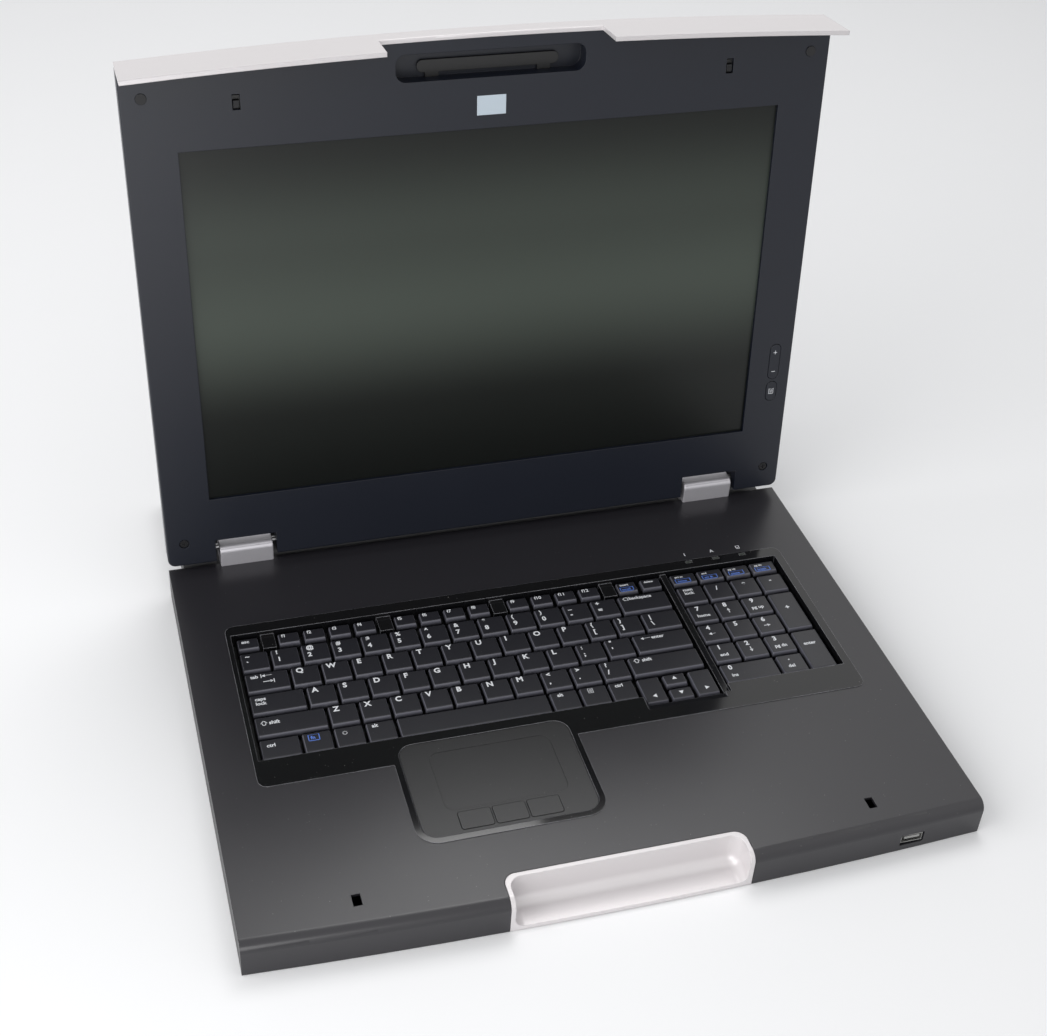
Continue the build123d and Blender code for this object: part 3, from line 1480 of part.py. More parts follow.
# Hinge arms: two plates on the back cover, each with ears that hold the hinge pin.
with BuildPart() as lid_hinge_arms:
    for left in notch_lefts:
        arm_left = left - hinge_notch_wall - arm_gap - arm_thickness
        arm_right = left + notch_width + hinge_notch_wall + arm_gap + arm_thickness
        for ear_start in (arm_left, arm_right - arm_thickness):
            lid_block(ear_start, ear_start + arm_thickness, arm_ear_low, arm_plate_top,
                      arm_ear_depth, back_inner)
        lid_block(arm_left, arm_right, arm_plate_low, arm_plate_top,
                  back_inner - arm_thickness, back_inner)
        lid_rod(arm_left, arm_right, hinge_up, hinge_depth, hinge_pin_radius)

lid_hinge_arms.part.label = "lid_hinge_arms"
export_step(lid_hinge_arms.part, "parts/lid_hinge_arms.step")

# Latch bar: the release bar in the finger pocket, its arms, and the rail with the two
# stepped pads that carry the hooks.
with BuildPart() as latch_bar:
    lid_rectangle(-bar_half_width, bar_half_width, bar_low, bar_high, latch_depth,
                  latch_depth + latch_thickness, (bar_high - bar_low) / 2 - fit_gap, Mode.ADD)
    lid_block(-rail_step_x - latch_thickness, rail_step_x + latch_thickness, rail_low, rail_high,
              latch_depth, latch_depth + latch_thickness)
    for side in (-1, 1):
        lid_block(side * latch_arm_x - latch_arm_width / 2, side * latch_arm_x + latch_arm_width / 2,
                  rail_high, (bar_low + bar_high) / 2, latch_depth, latch_depth + latch_thickness)
        lid_block(side * rail_step_x, side * (rail_step_x + latch_thickness),
                  rail_low, rail_high, rail_pad_depth, latch_depth + latch_thickness)
        lid_block(side * rail_step_x, side * rail_half_width, rail_low, rail_pad_high,
                  rail_pad_depth, rail_pad_depth + latch_thickness)
        lid_block(side * lid_slot_x - hook_width / 2 - hook_gap,
                  side * lid_slot_x + hook_width / 2 + hook_gap,
                  hook_low - hook_gap, hook_low + hook_length + hook_gap,
                  rail_pad_depth, rail_pad_depth + latch_thickness, Mode.SUBTRACT)

latch_bar.part.label = "latch_bar"
export_step(latch_bar.part, "parts/latch_bar.step")

# Latch hooks: tongues that slide out through the lid's slots, with a nose at the tip and
# a stop at the tail.
hook_tail = rail_pad_depth + latch_thickness + hook_travel + hook_gap
for side_name, side in (("left", -1), ("right", 1)):
    with BuildPart() as latch_hook:
        lid_block(side * lid_slot_x - hook_width / 2, side * lid_slot_x + hook_width / 2,
                  hook_low + hook_nose, hook_low + hook_length, hook_tip_depth, hook_tail)
        lid_block(side * lid_slot_x - hook_width / 2, side * lid_slot_x + hook_width / 2,
                  hook_low, hook_low + hook_nose, hook_tip_depth,
                  hook_tip_depth + hook_nose_length)
        lid_block(side * lid_slot_x - hook_width / 2 - hook_head_rim,
                  side * lid_slot_x + hook_width / 2 + hook_head_rim,
                  hook_low - hook_head_rim, hook_low + hook_length + hook_head_rim,
                  hook_tail, hook_tail + hook_head)
    latch_hook.part.label = f"latch_hook_{side_name}"
    export_step(latch_hook.part, f"parts/latch_hook_{side_name}.step")

# Screen controls.
with BuildPart() as screen_rocker:
    lid_rectangle(button_left, button_right, rocker_low, rocker_high, -button_proud,
                  button_depth, button_corner, Mode.ADD)
    lid_rod(button_left - rocker_ear_gap - rocker_ear_width,
            button_right + rocker_ear_gap + rocker_ear_width,
            rocker_up, rocker_pin_depth, rocker_pin_radius)

screen_rocker.part.label = "screen_rocker"
export_step(screen_rocker.part, "parts/screen_rocker.step")

with BuildPart() as menu_button:
    lid_rectangle(button_left, button_right, menu_low, menu_high, -button_proud,
                  button_depth, button_corner, Mode.ADD)
    lid_rectangle(button_left - menu_flange, button_right + menu_flange,
                  menu_low - menu_flange, menu_high + menu_flange,
                  bezel_thickness + running_gap, bezel_thickness + running_gap + menu_flange,
                  button_corner + menu_flange, Mode.ADD)

menu_button.part.label = "menu_button"
export_step(menu_button.part, "parts/menu_button.step")

# Small pieces on the lid's face: the blank badge plate, the bumpers and the screws.
with BuildPart() as badge_plate:
    lid_block(-badge_width / 2 + fit_gap, badge_width / 2 - fit_gap,
              badge_up - badge_height / 2 + fit_gap, badge_up + badge_height / 2 - fit_gap,
              -badge_proud, badge_thickness - badge_proud)

badge_plate.part.label = "badge_plate"
export_step(badge_plate.part, "parts/badge_plate.step")

with BuildPart() as lid_bumpers:
    with BuildSketch(lid_at(-bumper_proud)):
        with Locations(*bumper_spots):
            Circle(bumper_radius)
    extrude(amount=-(bumper_seat + bumper_proud))

lid_bumpers.part.label = "lid_bumpers"
export_step(lid_bumpers.part, "parts/lid_bumpers.step")

with BuildPart() as lid_screws:
    with BuildSketch(lid_at(lid_screw_recess - lid_screw_head)):
        with Locations(*lid_screw_spots):
            Circle(lid_screw_head_radius)
    extrude(amount=-lid_screw_head)
    with BuildSketch(lid_at(lid_screw_recess)):
        with Locations(*lid_screw_spots):
            Circle(lid_screw_shank_radius)
    extrude(amount=-(bezel_thickness - lid_screw_recess + lid_screw_shank))
    with BuildSketch(lid_at(lid_screw_recess - lid_screw_head)):
        with Locations(*lid_screw_spots):
            Rectangle(lid_screw_drive_length, lid_screw_drive)
            Rectangle(lid_screw_drive, lid_screw_drive_length)
    extrude(amount=-lid_screw_drive, mode=Mode.SUBTRACT)

lid_screws.part.label = "lid_screws"
export_step(lid_screws.part, "parts/lid_screws.step")
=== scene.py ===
# %% [markdown]
# # A console drawer for a server rack
# This lesson dresses the solids of a rack drawer: a low tray with a keyboard and a
# touchpad, and a lid with a flat screen. The solids already have the right size and
# place, so they are loaded as they are and mostly get finishes. What a solid leaves
# plain is modelled here: the moulded key caps, and the signs printed on them.

# %% Load the solids
import json
from math import cos, pi, radians, sin
import bmesh
import bpy
from mathutils import Matrix, Vector

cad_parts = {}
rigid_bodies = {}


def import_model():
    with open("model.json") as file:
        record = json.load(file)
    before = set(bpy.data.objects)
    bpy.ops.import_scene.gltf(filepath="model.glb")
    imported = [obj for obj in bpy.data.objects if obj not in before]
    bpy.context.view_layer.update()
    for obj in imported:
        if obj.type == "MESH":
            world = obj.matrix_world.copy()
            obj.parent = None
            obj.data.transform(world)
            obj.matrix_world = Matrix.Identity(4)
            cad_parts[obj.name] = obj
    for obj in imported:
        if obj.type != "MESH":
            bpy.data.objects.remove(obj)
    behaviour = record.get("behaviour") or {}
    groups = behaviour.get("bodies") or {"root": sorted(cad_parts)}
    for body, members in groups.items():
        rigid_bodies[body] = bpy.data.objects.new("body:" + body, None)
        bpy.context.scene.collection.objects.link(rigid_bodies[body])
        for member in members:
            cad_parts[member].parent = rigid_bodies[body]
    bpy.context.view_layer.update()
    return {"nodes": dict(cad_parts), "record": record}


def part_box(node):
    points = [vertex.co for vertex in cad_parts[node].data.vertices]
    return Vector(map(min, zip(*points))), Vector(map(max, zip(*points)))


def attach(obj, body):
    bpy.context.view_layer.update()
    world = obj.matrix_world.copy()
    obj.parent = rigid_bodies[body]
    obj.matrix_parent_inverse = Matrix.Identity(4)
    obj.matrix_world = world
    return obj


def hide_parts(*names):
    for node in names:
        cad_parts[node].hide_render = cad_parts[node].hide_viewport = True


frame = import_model()

# %% [markdown]
# ## Sizes
# Every size below is in millimetres, as on the drawing of the drawer, and becomes
# metres when a mesh is made. Colours are read off as display values from 0 to 255, so
# a small function turns them into the linear values that a shader expects.

# %% Units and colours
MM = 0.001


def tone(red, green, blue):
    """A display colour as the linear colour of a shader."""
    linear = [c / 255 / 12.92 if c <= 10 else ((c / 255 + 0.055) / 1.055) ** 2.4
              for c in (red, green, blue)]
    return (*linear, 1.0)


print("middle grey in linear light:", [round(c, 3) for c in tone(128, 128, 128)[:3]])

# %% [markdown]
# ## Camera
# The drawer was seen from its front left and from well above. The lens is a little
# longer than a normal one, and a small shift puts the picture's centre a little off the
# lens's axis, which keeps the upright edges of the lid as they are seen. The picture's
# size, the focal length and the axis are in pixels; the camera's place is in metres.

# %% Camera
WIDE, HIGH = 1047, 1036
FOCAL = 1643.52
AXIS_ACROSS, AXIS_DOWN = 485.89, 511.04
SENSOR = 36.0
EYE = (-0.2579, -0.8442, 0.7177)
RIGHTWARD = (0.9640, -0.2631, 0.0386)
ONWARD = (0.2315, 0.7588, -0.6088)

camera_data = bpy.data.cameras.new("studio_camera")
camera_data.sensor_fit = "HORIZONTAL"
camera_data.sensor_width = SENSOR
camera_data.lens = FOCAL / WIDE * SENSOR
camera_data.shift_x = (WIDE / 2 - AXIS_ACROSS) / WIDE
camera_data.shift_y = (AXIS_DOWN - HIGH / 2) / WIDE
camera_data.clip_start = 0.01
camera = bpy.data.objects.new("studio_camera", camera_data)
bpy.context.scene.collection.objects.link(camera)
right = Vector(RIGHTWARD).normalized()
look = Vector(ONWARD).normalized()
above = right.cross(look).normalized()
turn = Matrix((right, above, -look)).transposed().to_4x4()
camera.matrix_world = Matrix.Translation(EYE) @ turn
bpy.context.scene.camera = camera
print("lens:", round(camera_data.lens, 2), "mm")

# %% [markdown]
# ## Light
# The picture was taken in a white room with large soft lights: nothing on the drawer
# has a hard shadow, the left walls of the keys are brighter than the right ones, and
# every gloss shows plain white. The world gives the even part of that light. To the
# camera, in reflections and through clear pieces it is simply white, which is what a
# white room looks like.

# %% World
EVEN_STRENGTH, WHITE_STRENGTH = 0.5, 1.0

world = bpy.data.worlds.new("white_room")
bpy.context.scene.world = world
world.use_nodes = True
room = world.node_tree
room.nodes.clear()
even_light = room.nodes.new("ShaderNodeBackground")
even_light.inputs["Color"].default_value = (0.98, 0.99, 1.0, 1)
even_light.inputs["Strength"].default_value = EVEN_STRENGTH
seen_white = room.nodes.new("ShaderNodeBackground")
seen_white.inputs["Color"].default_value = (1, 1, 1, 1)
seen_white.inputs["Strength"].default_value = WHITE_STRENGTH
ray = room.nodes.new("ShaderNodeLightPath")
seen = room.nodes.new("ShaderNodeMath")
seen.operation = "MAXIMUM"
either = room.nodes.new("ShaderNodeMath")
either.operation = "MAXIMUM"
pick = room.nodes.new("ShaderNodeMixShader")
sky = room.nodes.new("ShaderNodeOutputWorld")
room.links.new(ray.outputs["Is Camera Ray"], seen.inputs[0])
room.links.new(ray.outputs["Is Glossy Ray"], seen.inputs[1])
room.links.new(seen.outputs[0], either.inputs[0])
room.links.new(ray.outputs["Is Transmission Ray"], either.inputs[1])
room.links.new(either.outputs[0], pick.inputs["Fac"])
room.links.new(even_light.outputs[0], pick.inputs[1])
room.links.new(seen_white.outputs[0], pick.inputs[2])
room.links.new(pick.outputs[0], sky.inputs["Surface"])
print("world:", world.name)

# %% [markdown]
# Two large panels of light stand left and right of the drawer, above it. The left one
# is by far the stronger, because the left walls of the keys and hinge covers are the
# brighter ones. A third hangs high behind the lid: the deck's front half, the rounded
# tops of the hinge covers and the bullnose shine with it, while the lid's face gets none
# of it. A small fourth one stands low in front, for the front face and the cup.

# %% Lamps


def light_panel(name, place, target, size, power):
    """A square area lamp that faces a point, with its size in metres and power in watts."""
    lamp = bpy.data.lights.new(name, "AREA")
    lamp.shape = "SQUARE"
    lamp.size = size
    lamp.energy = power
    panel = bpy.data.objects.new(name, lamp)
    bpy.context.scene.collection.objects.link(panel)
    aim = (Vector(target) - Vector(place)).to_track_quat("-Z", "Y")
    panel.matrix_world = Matrix.Translation(place) @ aim.to_matrix().to_4x4()


light_panel("left_panel", (-1.8, -0.5, 1.2), (0, -0.15, 0.05), 2.0, 29)
light_panel("front_panel", (-0.4, -1.05, 0.22), (-0.1, -0.3, 0.02), 0.5, 2.8)
light_panel("right_panel", (1.5, -1.0, 1.8), (0, -0.1, 0.1), 2.0, 2)
light_panel("back_panel", (0.32, 0.75, 1.85), (0, -0.15, 0.1), 0.9, 9)
bpy.context.scene.view_settings.view_transform = "Standard"

# %% [markdown]
# ## Shared effects
# Real mouldings are never one flat colour. Three effects come back on nearly every
# piece, so each is a node group with its own inputs: a moulded surface with fine
# grain, softened edges and slight changes of shade; a mask for lighter edges, partly
# wear that hands have rubbed bright and partly painted highlight where light catches an
# edge; and a mask for dust that lies on faces that look up.

# %% Helpers for node groups


def shared_group(name, inputs, outputs):
    """An empty node group with the named sockets, and its two end nodes."""
    group = bpy.data.node_groups.new(name, "ShaderNodeTree")
    for label, kind, value in inputs:
        socket = group.interface.new_socket(label, in_out="INPUT", socket_type=kind)
        socket.default_value = value
    for label, kind in outputs:
        group.interface.new_socket(label, in_out="OUTPUT", socket_type=kind)
    start = group.nodes.new("NodeGroupInput")
    end = group.nodes.new("NodeGroupOutput")
    return group, start, end


def node(tree, kind, **values):
    """A node with some of its properties and inputs set."""
    made = tree.nodes.new(kind)
    for label, value in values.items():
        if hasattr(made, label):
            setattr(made, label, value)
        else:
            made.inputs[label.replace("_", " ")].default_value = value
    return made


print("helpers ready")

# %% Moulded surface
NUMBER = "NodeSocketFloat"
COLOUR = "NodeSocketColor"
moulded, given, made = shared_group(
    "moulded_surface",
    [("Colour", COLOUR, (0.5, 0.5, 0.5, 1)), ("Shade Spread", NUMBER, 0.08),
     ("Roughness", NUMBER, 0.4), ("Gloss Spread", NUMBER, 0.06), ("Grain Scale", NUMBER, 1500.0),
     ("Grain Depth", NUMBER, 0.00003), ("Edge Radius", NUMBER, 0.0004)],
    [("Colour", COLOUR), ("Roughness", NUMBER), ("Normal", "NodeSocketVector")],
)
spot = node(moulded, "ShaderNodeTexCoord")
clouds = node(moulded, "ShaderNodeTexNoise", Scale=14.0, Detail=4.0)
grain = node(moulded, "ShaderNodeTexNoise", Detail=2.0)
shade = node(moulded, "ShaderNodeMath", operation="SUBTRACT")
shade.inputs[1].default_value = 0.5
shade_by = node(moulded, "ShaderNodeMath", operation="MULTIPLY_ADD")
shade_by.inputs[2].default_value = 1.0
tinted = node(moulded, "ShaderNodeVectorMath", operation="SCALE")
gloss_by = node(moulded, "ShaderNodeMath", operation="MULTIPLY_ADD")
soft_edge = node(moulded, "ShaderNodeBevel", samples=4)
relief = node(moulded, "ShaderNodeBump", Strength=0.6)
for a, b in (
    (spot.outputs["Object"], clouds.inputs["Vector"]),
    (spot.outputs["Object"], grain.inputs["Vector"]),
    (given.outputs["Grain Scale"], grain.inputs["Scale"]),
    (clouds.outputs["Fac"], shade.inputs[0]),
    (shade.outputs[0], shade_by.inputs[0]),
    (given.outputs["Shade Spread"], shade_by.inputs[1]),
    (given.outputs["Colour"], tinted.inputs[0]),
    (shade_by.outputs[0], tinted.inputs["Scale"]),
    (shade.outputs[0], gloss_by.inputs[0]),
    (given.outputs["Gloss Spread"], gloss_by.inputs[1]),
    (given.outputs["Roughness"], gloss_by.inputs[2]),
    (given.outputs["Edge Radius"], soft_edge.inputs["Radius"]),
    (soft_edge.outputs["Normal"], relief.inputs["Normal"]),
    (grain.outputs["Fac"], relief.inputs["Height"]),
    (given.outputs["Grain Depth"], relief.inputs["Distance"]),
    (tinted.outputs["Vector"], made.inputs["Colour"]),
    (gloss_by.outputs[0], made.inputs["Roughness"]),
    (relief.outputs["Normal"], made.inputs["Normal"]),
):
    moulded.links.new(a, b)
print("group:", moulded.name)

# %% Worn edges and painted edge highlights
# Lighter edges: partly wear, partly painted highlights and glints where light catches an edge.
wear_and_highlight_group, given, made = shared_group(
    "wear_and_highlight_edges",
    [("Radius", NUMBER, 0.0006), ("Amount", NUMBER, 0.5)],
    [("Mask", NUMBER)],
)
flat_normal = node(wear_and_highlight_group, "ShaderNodeNewGeometry")
round_normal = node(wear_and_highlight_group, "ShaderNodeBevel", samples=4)
agree = node(wear_and_highlight_group, "ShaderNodeVectorMath", operation="DOT_PRODUCT")
at_edge = node(wear_and_highlight_group, "ShaderNodeMapRange")
at_edge.inputs["From Min"].default_value = 0.99
at_edge.inputs["From Max"].default_value = 0.80
patches = node(wear_and_highlight_group, "ShaderNodeTexNoise", Scale=60.0, Detail=3.0)
place = node(wear_and_highlight_group, "ShaderNodeTexCoord")
broken = node(wear_and_highlight_group, "ShaderNodeMath", operation="MULTIPLY")
edge_mask = node(wear_and_highlight_group, "ShaderNodeMath", operation="MULTIPLY", use_clamp=True)
for a, b in (
    (given.outputs["Radius"], round_normal.inputs["Radius"]),
    (flat_normal.outputs["True Normal"], agree.inputs[0]),
    (round_normal.outputs["Normal"], agree.inputs[1]),
    (agree.outputs["Value"], at_edge.inputs["Value"]),
    (place.outputs["Object"], patches.inputs["Vector"]),
    (patches.outputs["Fac"], broken.inputs[0]),
    (at_edge.outputs["Result"], broken.inputs[1]),
    (broken.outputs[0], edge_mask.inputs[0]),
    (given.outputs["Amount"], edge_mask.inputs[1]),
    (edge_mask.outputs[0], made.inputs["Mask"]),
):
    wear_and_highlight_group.links.new(a, b)
print("group:", wear_and_highlight_group.name)

# %% Dust
dusty, given, made = shared_group(
    "dust_specks",
    [("Scale", NUMBER, 420.0), ("Amount", NUMBER, 0.5)],
    [("Mask", NUMBER)],
)
place = node(dusty, "ShaderNodeTexCoord")
cells = node(dusty, "ShaderNodeTexVoronoi", feature="F1")
speck = node(dusty, "ShaderNodeMapRange")
speck.inputs["From Min"].default_value = 0.11
speck.inputs["From Max"].default_value = 0.05
thin_out = node(dusty, "ShaderNodeTexNoise", Scale=180.0, Detail=1.0)
few = node(dusty, "ShaderNodeMapRange")
few.inputs["From Min"].default_value = 0.58
few.inputs["From Max"].default_value = 0.66
facing = node(dusty, "ShaderNodeNewGeometry")
split = node(dusty, "ShaderNodeSeparateXYZ")
chosen = node(dusty, "ShaderNodeMath", operation="MULTIPLY")
lying = node(dusty, "ShaderNodeMath", operation="MULTIPLY", use_clamp=True)
mask = node(dusty, "ShaderNodeMath", operation="MULTIPLY", use_clamp=True)
for a, b in (
    (place.outputs["Object"], cells.inputs["Vector"]),
    (given.outputs["Scale"], cells.inputs["Scale"]),
    (cells.outputs["Distance"], speck.inputs["Value"]),
    (place.outputs["Object"], thin_out.inputs["Vector"]),
    (thin_out.outputs["Fac"], few.inputs["Value"]),
    (speck.outputs["Result"], chosen.inputs[0]),
    (few.outputs["Result"], chosen.inputs[1]),
    (facing.outputs["Normal"], split.inputs[0]),
    (chosen.outputs[0], lying.inputs[0]),
    (split.outputs["Z"], lying.inputs[1]),
    (lying.outputs[0], mask.inputs[0]),
    (given.outputs["Amount"], mask.inputs[1]),
    (mask.outputs[0], made.inputs["Mask"]),
):
    dusty.links.new(a, b)
print("group:", dusty.name)

# %% [markdown]
# ## Finishes
# A finish is one material: a Principled shader, the moulded surface, and on some pieces
# lighter edges, partly wear and partly painted highlight, and dust where the real piece
# shows it. The numbers that are the same all over are set on the shader itself. The depth
# of the grain and the radius of the soft edges are in metres.

# %% A finish
DUST_GREY = (0.55, 0.53, 0.5, 1)
MIX_FIRST, MIX_SECOND, MIX_RESULT = 6, 7, 2


def finish(name, colour, rough, shade=0.08, gloss=0.06, grain=1500.0, depth=0.00003,
           edge=0.0004, wear_and_glint=0.0, wear_and_glint_colour=(0.6, 0.6, 0.6, 1), dust=0.0, metal=0.0, level=0.5,
           coat=0.0, over=None):
    """A moulded or painted finish; over is a second colour and the mask that shows it."""
    material = bpy.data.materials.new(name)
    material.use_nodes = True
    tree = material.node_tree
    shader = tree.nodes["Principled BSDF"]
    shader.inputs["Metallic"].default_value = metal
    shader.inputs["Specular IOR Level"].default_value = level
    shader.inputs["Coat Weight"].default_value = coat
    surface = node(tree, "ShaderNodeGroup", node_tree=moulded)
    for label, value in (("Colour", colour), ("Shade Spread", shade), ("Roughness", rough),
                         ("Gloss Spread", gloss), ("Grain Scale", grain),
                         ("Grain Depth", depth), ("Edge Radius", edge)):
        surface.inputs[label].default_value = value
    shown = surface.outputs["Colour"]
    layers = []
    # Lighter edges: partly wear, partly a painted highlight along the edge.
    if wear_and_glint:
        edges = node(tree, "ShaderNodeGroup", node_tree=wear_and_highlight_group)
        edges.inputs["Amount"].default_value = wear_and_glint
        layers.append((wear_and_glint_colour, edges.outputs["Mask"]))
    if dust:
        specks = node(tree, "ShaderNodeGroup", node_tree=dusty)
        specks.inputs["Amount"].default_value = dust
        layers.append((DUST_GREY, specks.outputs["Mask"]))
    if over:
        second_colour, mask_maker = over
        layers.append((second_colour, mask_maker(tree)))
    for second, where in layers:
        blend = node(tree, "ShaderNodeMix", data_type="RGBA")
        tree.links.new(where, blend.inputs["Factor"])
        tree.links.new(shown, blend.inputs[MIX_FIRST])
        blend.inputs[MIX_SECOND].default_value = second
        shown = blend.outputs[MIX_RESULT]
    tree.links.new(shown, shader.inputs["Base Color"])
    tree.links.new(surface.outputs["Roughness"], shader.inputs["Roughness"])
    tree.links.new(surface.outputs["Normal"], shader.inputs["Normal"])
    return material


print("finish ready")

# %% [markdown]
# Some finishes show a second colour, and a mask says where. The parts on a circuit
# board stand above its green lacquer, so one mask turns on above a level. Others pick
# out the copper tracks, the walls of the keys, which get a lighter grey as painted light,
# and a band across the screen, which is a painted reflection.

# %% Masks
SOFT = 0.0002


def above_level(level):
    """Makes a mask that is 1 above a level and 0 below it."""
    def build(tree):
        where = node(tree, "ShaderNodeTexCoord")
        apart = node(tree, "ShaderNodeSeparateXYZ")
        ramp = node(tree, "ShaderNodeMapRange", interpolation_type="SMOOTHSTEP")
        ramp.inputs["From Min"].default_value = level - SOFT
        ramp.inputs["From Max"].default_value = level + SOFT
        tree.links.new(where.outputs["Object"], apart.inputs[0])
        tree.links.new(apart.outputs["Z"], ramp.inputs["Value"])
        return ramp.outputs["Result"]
    return build


def copper_tracks(tree):
    """Makes a mask of fine square tracks, as under the lacquer of a board."""
    where = node(tree, "ShaderNodeTexCoord")
    tracks = node(tree, "ShaderNodeTexBrick", Scale=120.0, Mortar_Size=0.03)
    tree.links.new(where.outputs["Object"], tracks.inputs["Vector"])
    return tracks.outputs["Fac"]


def painted_wall_light(tree):
    """Makes a mask of the keys' walls, which get a lighter grey than the tops as painted light."""
    facing = node(tree, "ShaderNodeNewGeometry")
    apart = node(tree, "ShaderNodeSeparateXYZ")
    steep = node(tree, "ShaderNodeMapRange", interpolation_type="SMOOTHSTEP")
    steep.inputs["From Min"].default_value = 0.93
    steep.inputs["From Max"].default_value = 0.70
    tree.links.new(facing.outputs["Normal"], apart.inputs[0])
    tree.links.new(apart.outputs["Z"], steep.inputs["Value"])
    return steep.outputs["Result"]


def painted_screen_reflection(tree):
    """Makes a soft band of painted reflection across the screen's anti-glare film."""
    low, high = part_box("lcd_panel")[0].z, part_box("lcd_panel")[1].z
    where = node(tree, "ShaderNodeTexCoord")
    apart = node(tree, "ShaderNodeSeparateXYZ")
    height = node(tree, "ShaderNodeMapRange")
    height.inputs["From Min"].default_value = low
    height.inputs["From Max"].default_value = high
    band = node(tree, "ShaderNodeValToRGB")
    band.color_ramp.interpolation = "EASE"
    stops = ((0.0, 0.0), (0.22, 0.05), (0.52, 0.95), (0.72, 0.65), (1.0, 0.05))
    for stop, _ in stops[1:-1]:
        band.color_ramp.elements.new(stop)
    for element, (stop, value) in zip(band.color_ramp.elements, stops):
        element.position = stop
        element.color = (value, value, value, 1)
    tree.links.new(where.outputs["Object"], apart.inputs[0])
    tree.links.new(apart.outputs["Z"], height.inputs["Value"])
    tree.links.new(height.outputs["Result"], band.inputs["Fac"])
    return band.outputs["Color"]


print("masks ready")

# %% [markdown]
# The drawer's finishes. The deck is satin plastic with a fine spark-eroded texture, and
# the plate around the keys is black and highly polished, with painted highlights along its
# edges. The keys are satin, with painted light on their walls, and the grips, hinge covers
# and top strip are painted silver. The screen has an anti-glare film, with a soft, faintly
# green band of painted reflection across it. Each entry of the table gives a colour, a
# roughness and what differs from a plain moulded surface.

# %% Finishes of the drawer
LACQUER = tone(28, 84, 52)
BOARD_THICK, OVER_BOARD = 1.6, 0.3

looks = {
    "deck_plastic": (tone(37, 36, 40), 0.30, dict(
        grain=1700, depth=0.00004, edge=0.0005, dust=0.35, level=0.55, shade=0.10)),
    "tray_steel": (tone(52, 52, 54), 0.5, dict(
        grain=900, depth=0.00006, edge=0.0003, wear_and_glint=0.5, wear_and_glint_colour=(0.3, 0.3, 0.3, 1))),
    "silver_plastic": (tone(212, 208, 209), 0.36, dict(
        grain=2600, depth=0.00002, edge=0.0006, shade=0.04, metal=0.25, wear_and_glint=0.3,
        wear_and_glint_colour=tone(228, 227, 230))),
    # The polished plate's light edge lines are painted highlights, mixed in through the edge mask.
    "gloss_black": (tone(17, 17, 19), 0.09, dict(
        gloss=0.05, grain=300, depth=0.000004, edge=0.0005, dust=0.5, level=0.6, wear_and_glint=1.5,
        wear_and_glint_colour=tone(160, 160, 166))),
    # The keys' walls carry a lighter grey as painted light; their light edges are partly painted
    # glints.
    "key_plastic": (tone(27, 27, 33), 0.38, dict(
        grain=2200, depth=0.00002, edge=0.0002, wear_and_glint=0.12, wear_and_glint_colour=tone(96, 96, 102), dust=0.15,
        over=(tone(94, 94, 103), painted_wall_light))),
    "pad_plastic": (tone(24, 24, 26), 0.36, dict(
        grain=2000, edge=0.0003, dust=0.3, level=0.55)),
    "lid_plastic": (tone(6, 12, 26), 0.40, dict(
        grain=1700, depth=0.00004, edge=0.0005, dust=0.1, shade=0.10)),
    # The light band across the screen is a painted reflection.
    "screen_glass": (tone(10, 13, 11), 0.30, dict(
        gloss=0.03, grain=3200, depth=0.00001, edge=0.0001, level=0.32, shade=0.05,
        over=(tone(66, 73, 66), painted_screen_reflection))),
    "module_metal": (tone(168, 168, 166), 0.4, dict(grain=600, metal=0.9, wear_and_glint=0.3)),
    "hinge_silver": (tone(196, 194, 199), 0.40, dict(
        grain=2600, depth=0.00002, edge=0.0006, shade=0.05, metal=0.5, wear_and_glint=0.3,
        wear_and_glint_colour=tone(226, 225, 228))),
    "steel": (tone(150, 150, 152), 0.34, dict(
        grain=900, metal=1.0, wear_and_glint=0.4, wear_and_glint_colour=(0.8, 0.8, 0.8, 1))),
    "board_green": (LACQUER, 0.35, dict(
        grain=800, coat=0.4, over=(tone(46, 112, 70), copper_tracks))),
    "port_black": (tone(24, 24, 25), 0.45, dict(grain=1400, depth=0.00004)),
    "membrane_rubber": (tone(104, 104, 106), 0.7, dict(grain=900, depth=0.00006)),
    "bumper_rubber": (tone(20, 20, 22), 0.62, dict(grain=1200, depth=0.00005)),
    "lens_clear": (tone(66, 70, 66), 0.12, dict(gloss=0.03, grain=400, depth=0.00001, coat=0.5)),
    "badge_gold": (tone(196, 208, 218), 0.3, dict(
        grain=2400, metal=0.3, wear_and_glint=0.5, wear_and_glint_colour=tone(224, 230, 236))),
}
finishes = {name: finish(name, colour, rough, **rest)
            for name, (colour, rough, rest) in looks.items()}
parts_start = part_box("power_board")[0].z + BOARD_THICK * MM + OVER_BOARD * MM
for name in ("power_board", "control_board"):
    finishes[name] = finish(name + "_finish", LACQUER, 0.35, grain=800, coat=0.3,
                            over=(tone(34, 34, 36), above_level(parts_start)))
for name in ("latch_hook_left", "latch_hook_right", "lid_screws"):
    finishes[name] = finish(name + "_finish", tone(38, 38, 40), 0.4, grain=900, metal=0.6,
                            wear_and_glint=0.3, wear_and_glint_colour=tone(120, 120, 124))
print("finishes:", len(finishes))

# %% Give every solid its finish
for part in frame["record"]["subparts"]:
    solid = frame["nodes"][part["node"]]
    chosen_finish = finishes.get(part["node"]) or finishes[part["material_slot"]]
    if not solid.data.materials:
        solid.data.materials.append(chosen_finish)
    for slot in solid.material_slots:
        slot.material = chosen_finish

# %% [markdown]
# ## Keys
# A key cap is a low box with walls that lean in, soft edges and a nearly flat top. The
# wall at the front leans in more than the one at the back. Each cap starts as a cube
# that is scaled to the key; its top is drawn in and its edges are bevelled. Weighted
# normals keep the broad faces flat to the eye, so that only the narrow bevels round
# off. Keys of one group are one mesh, which stands for the plain solid of that group.

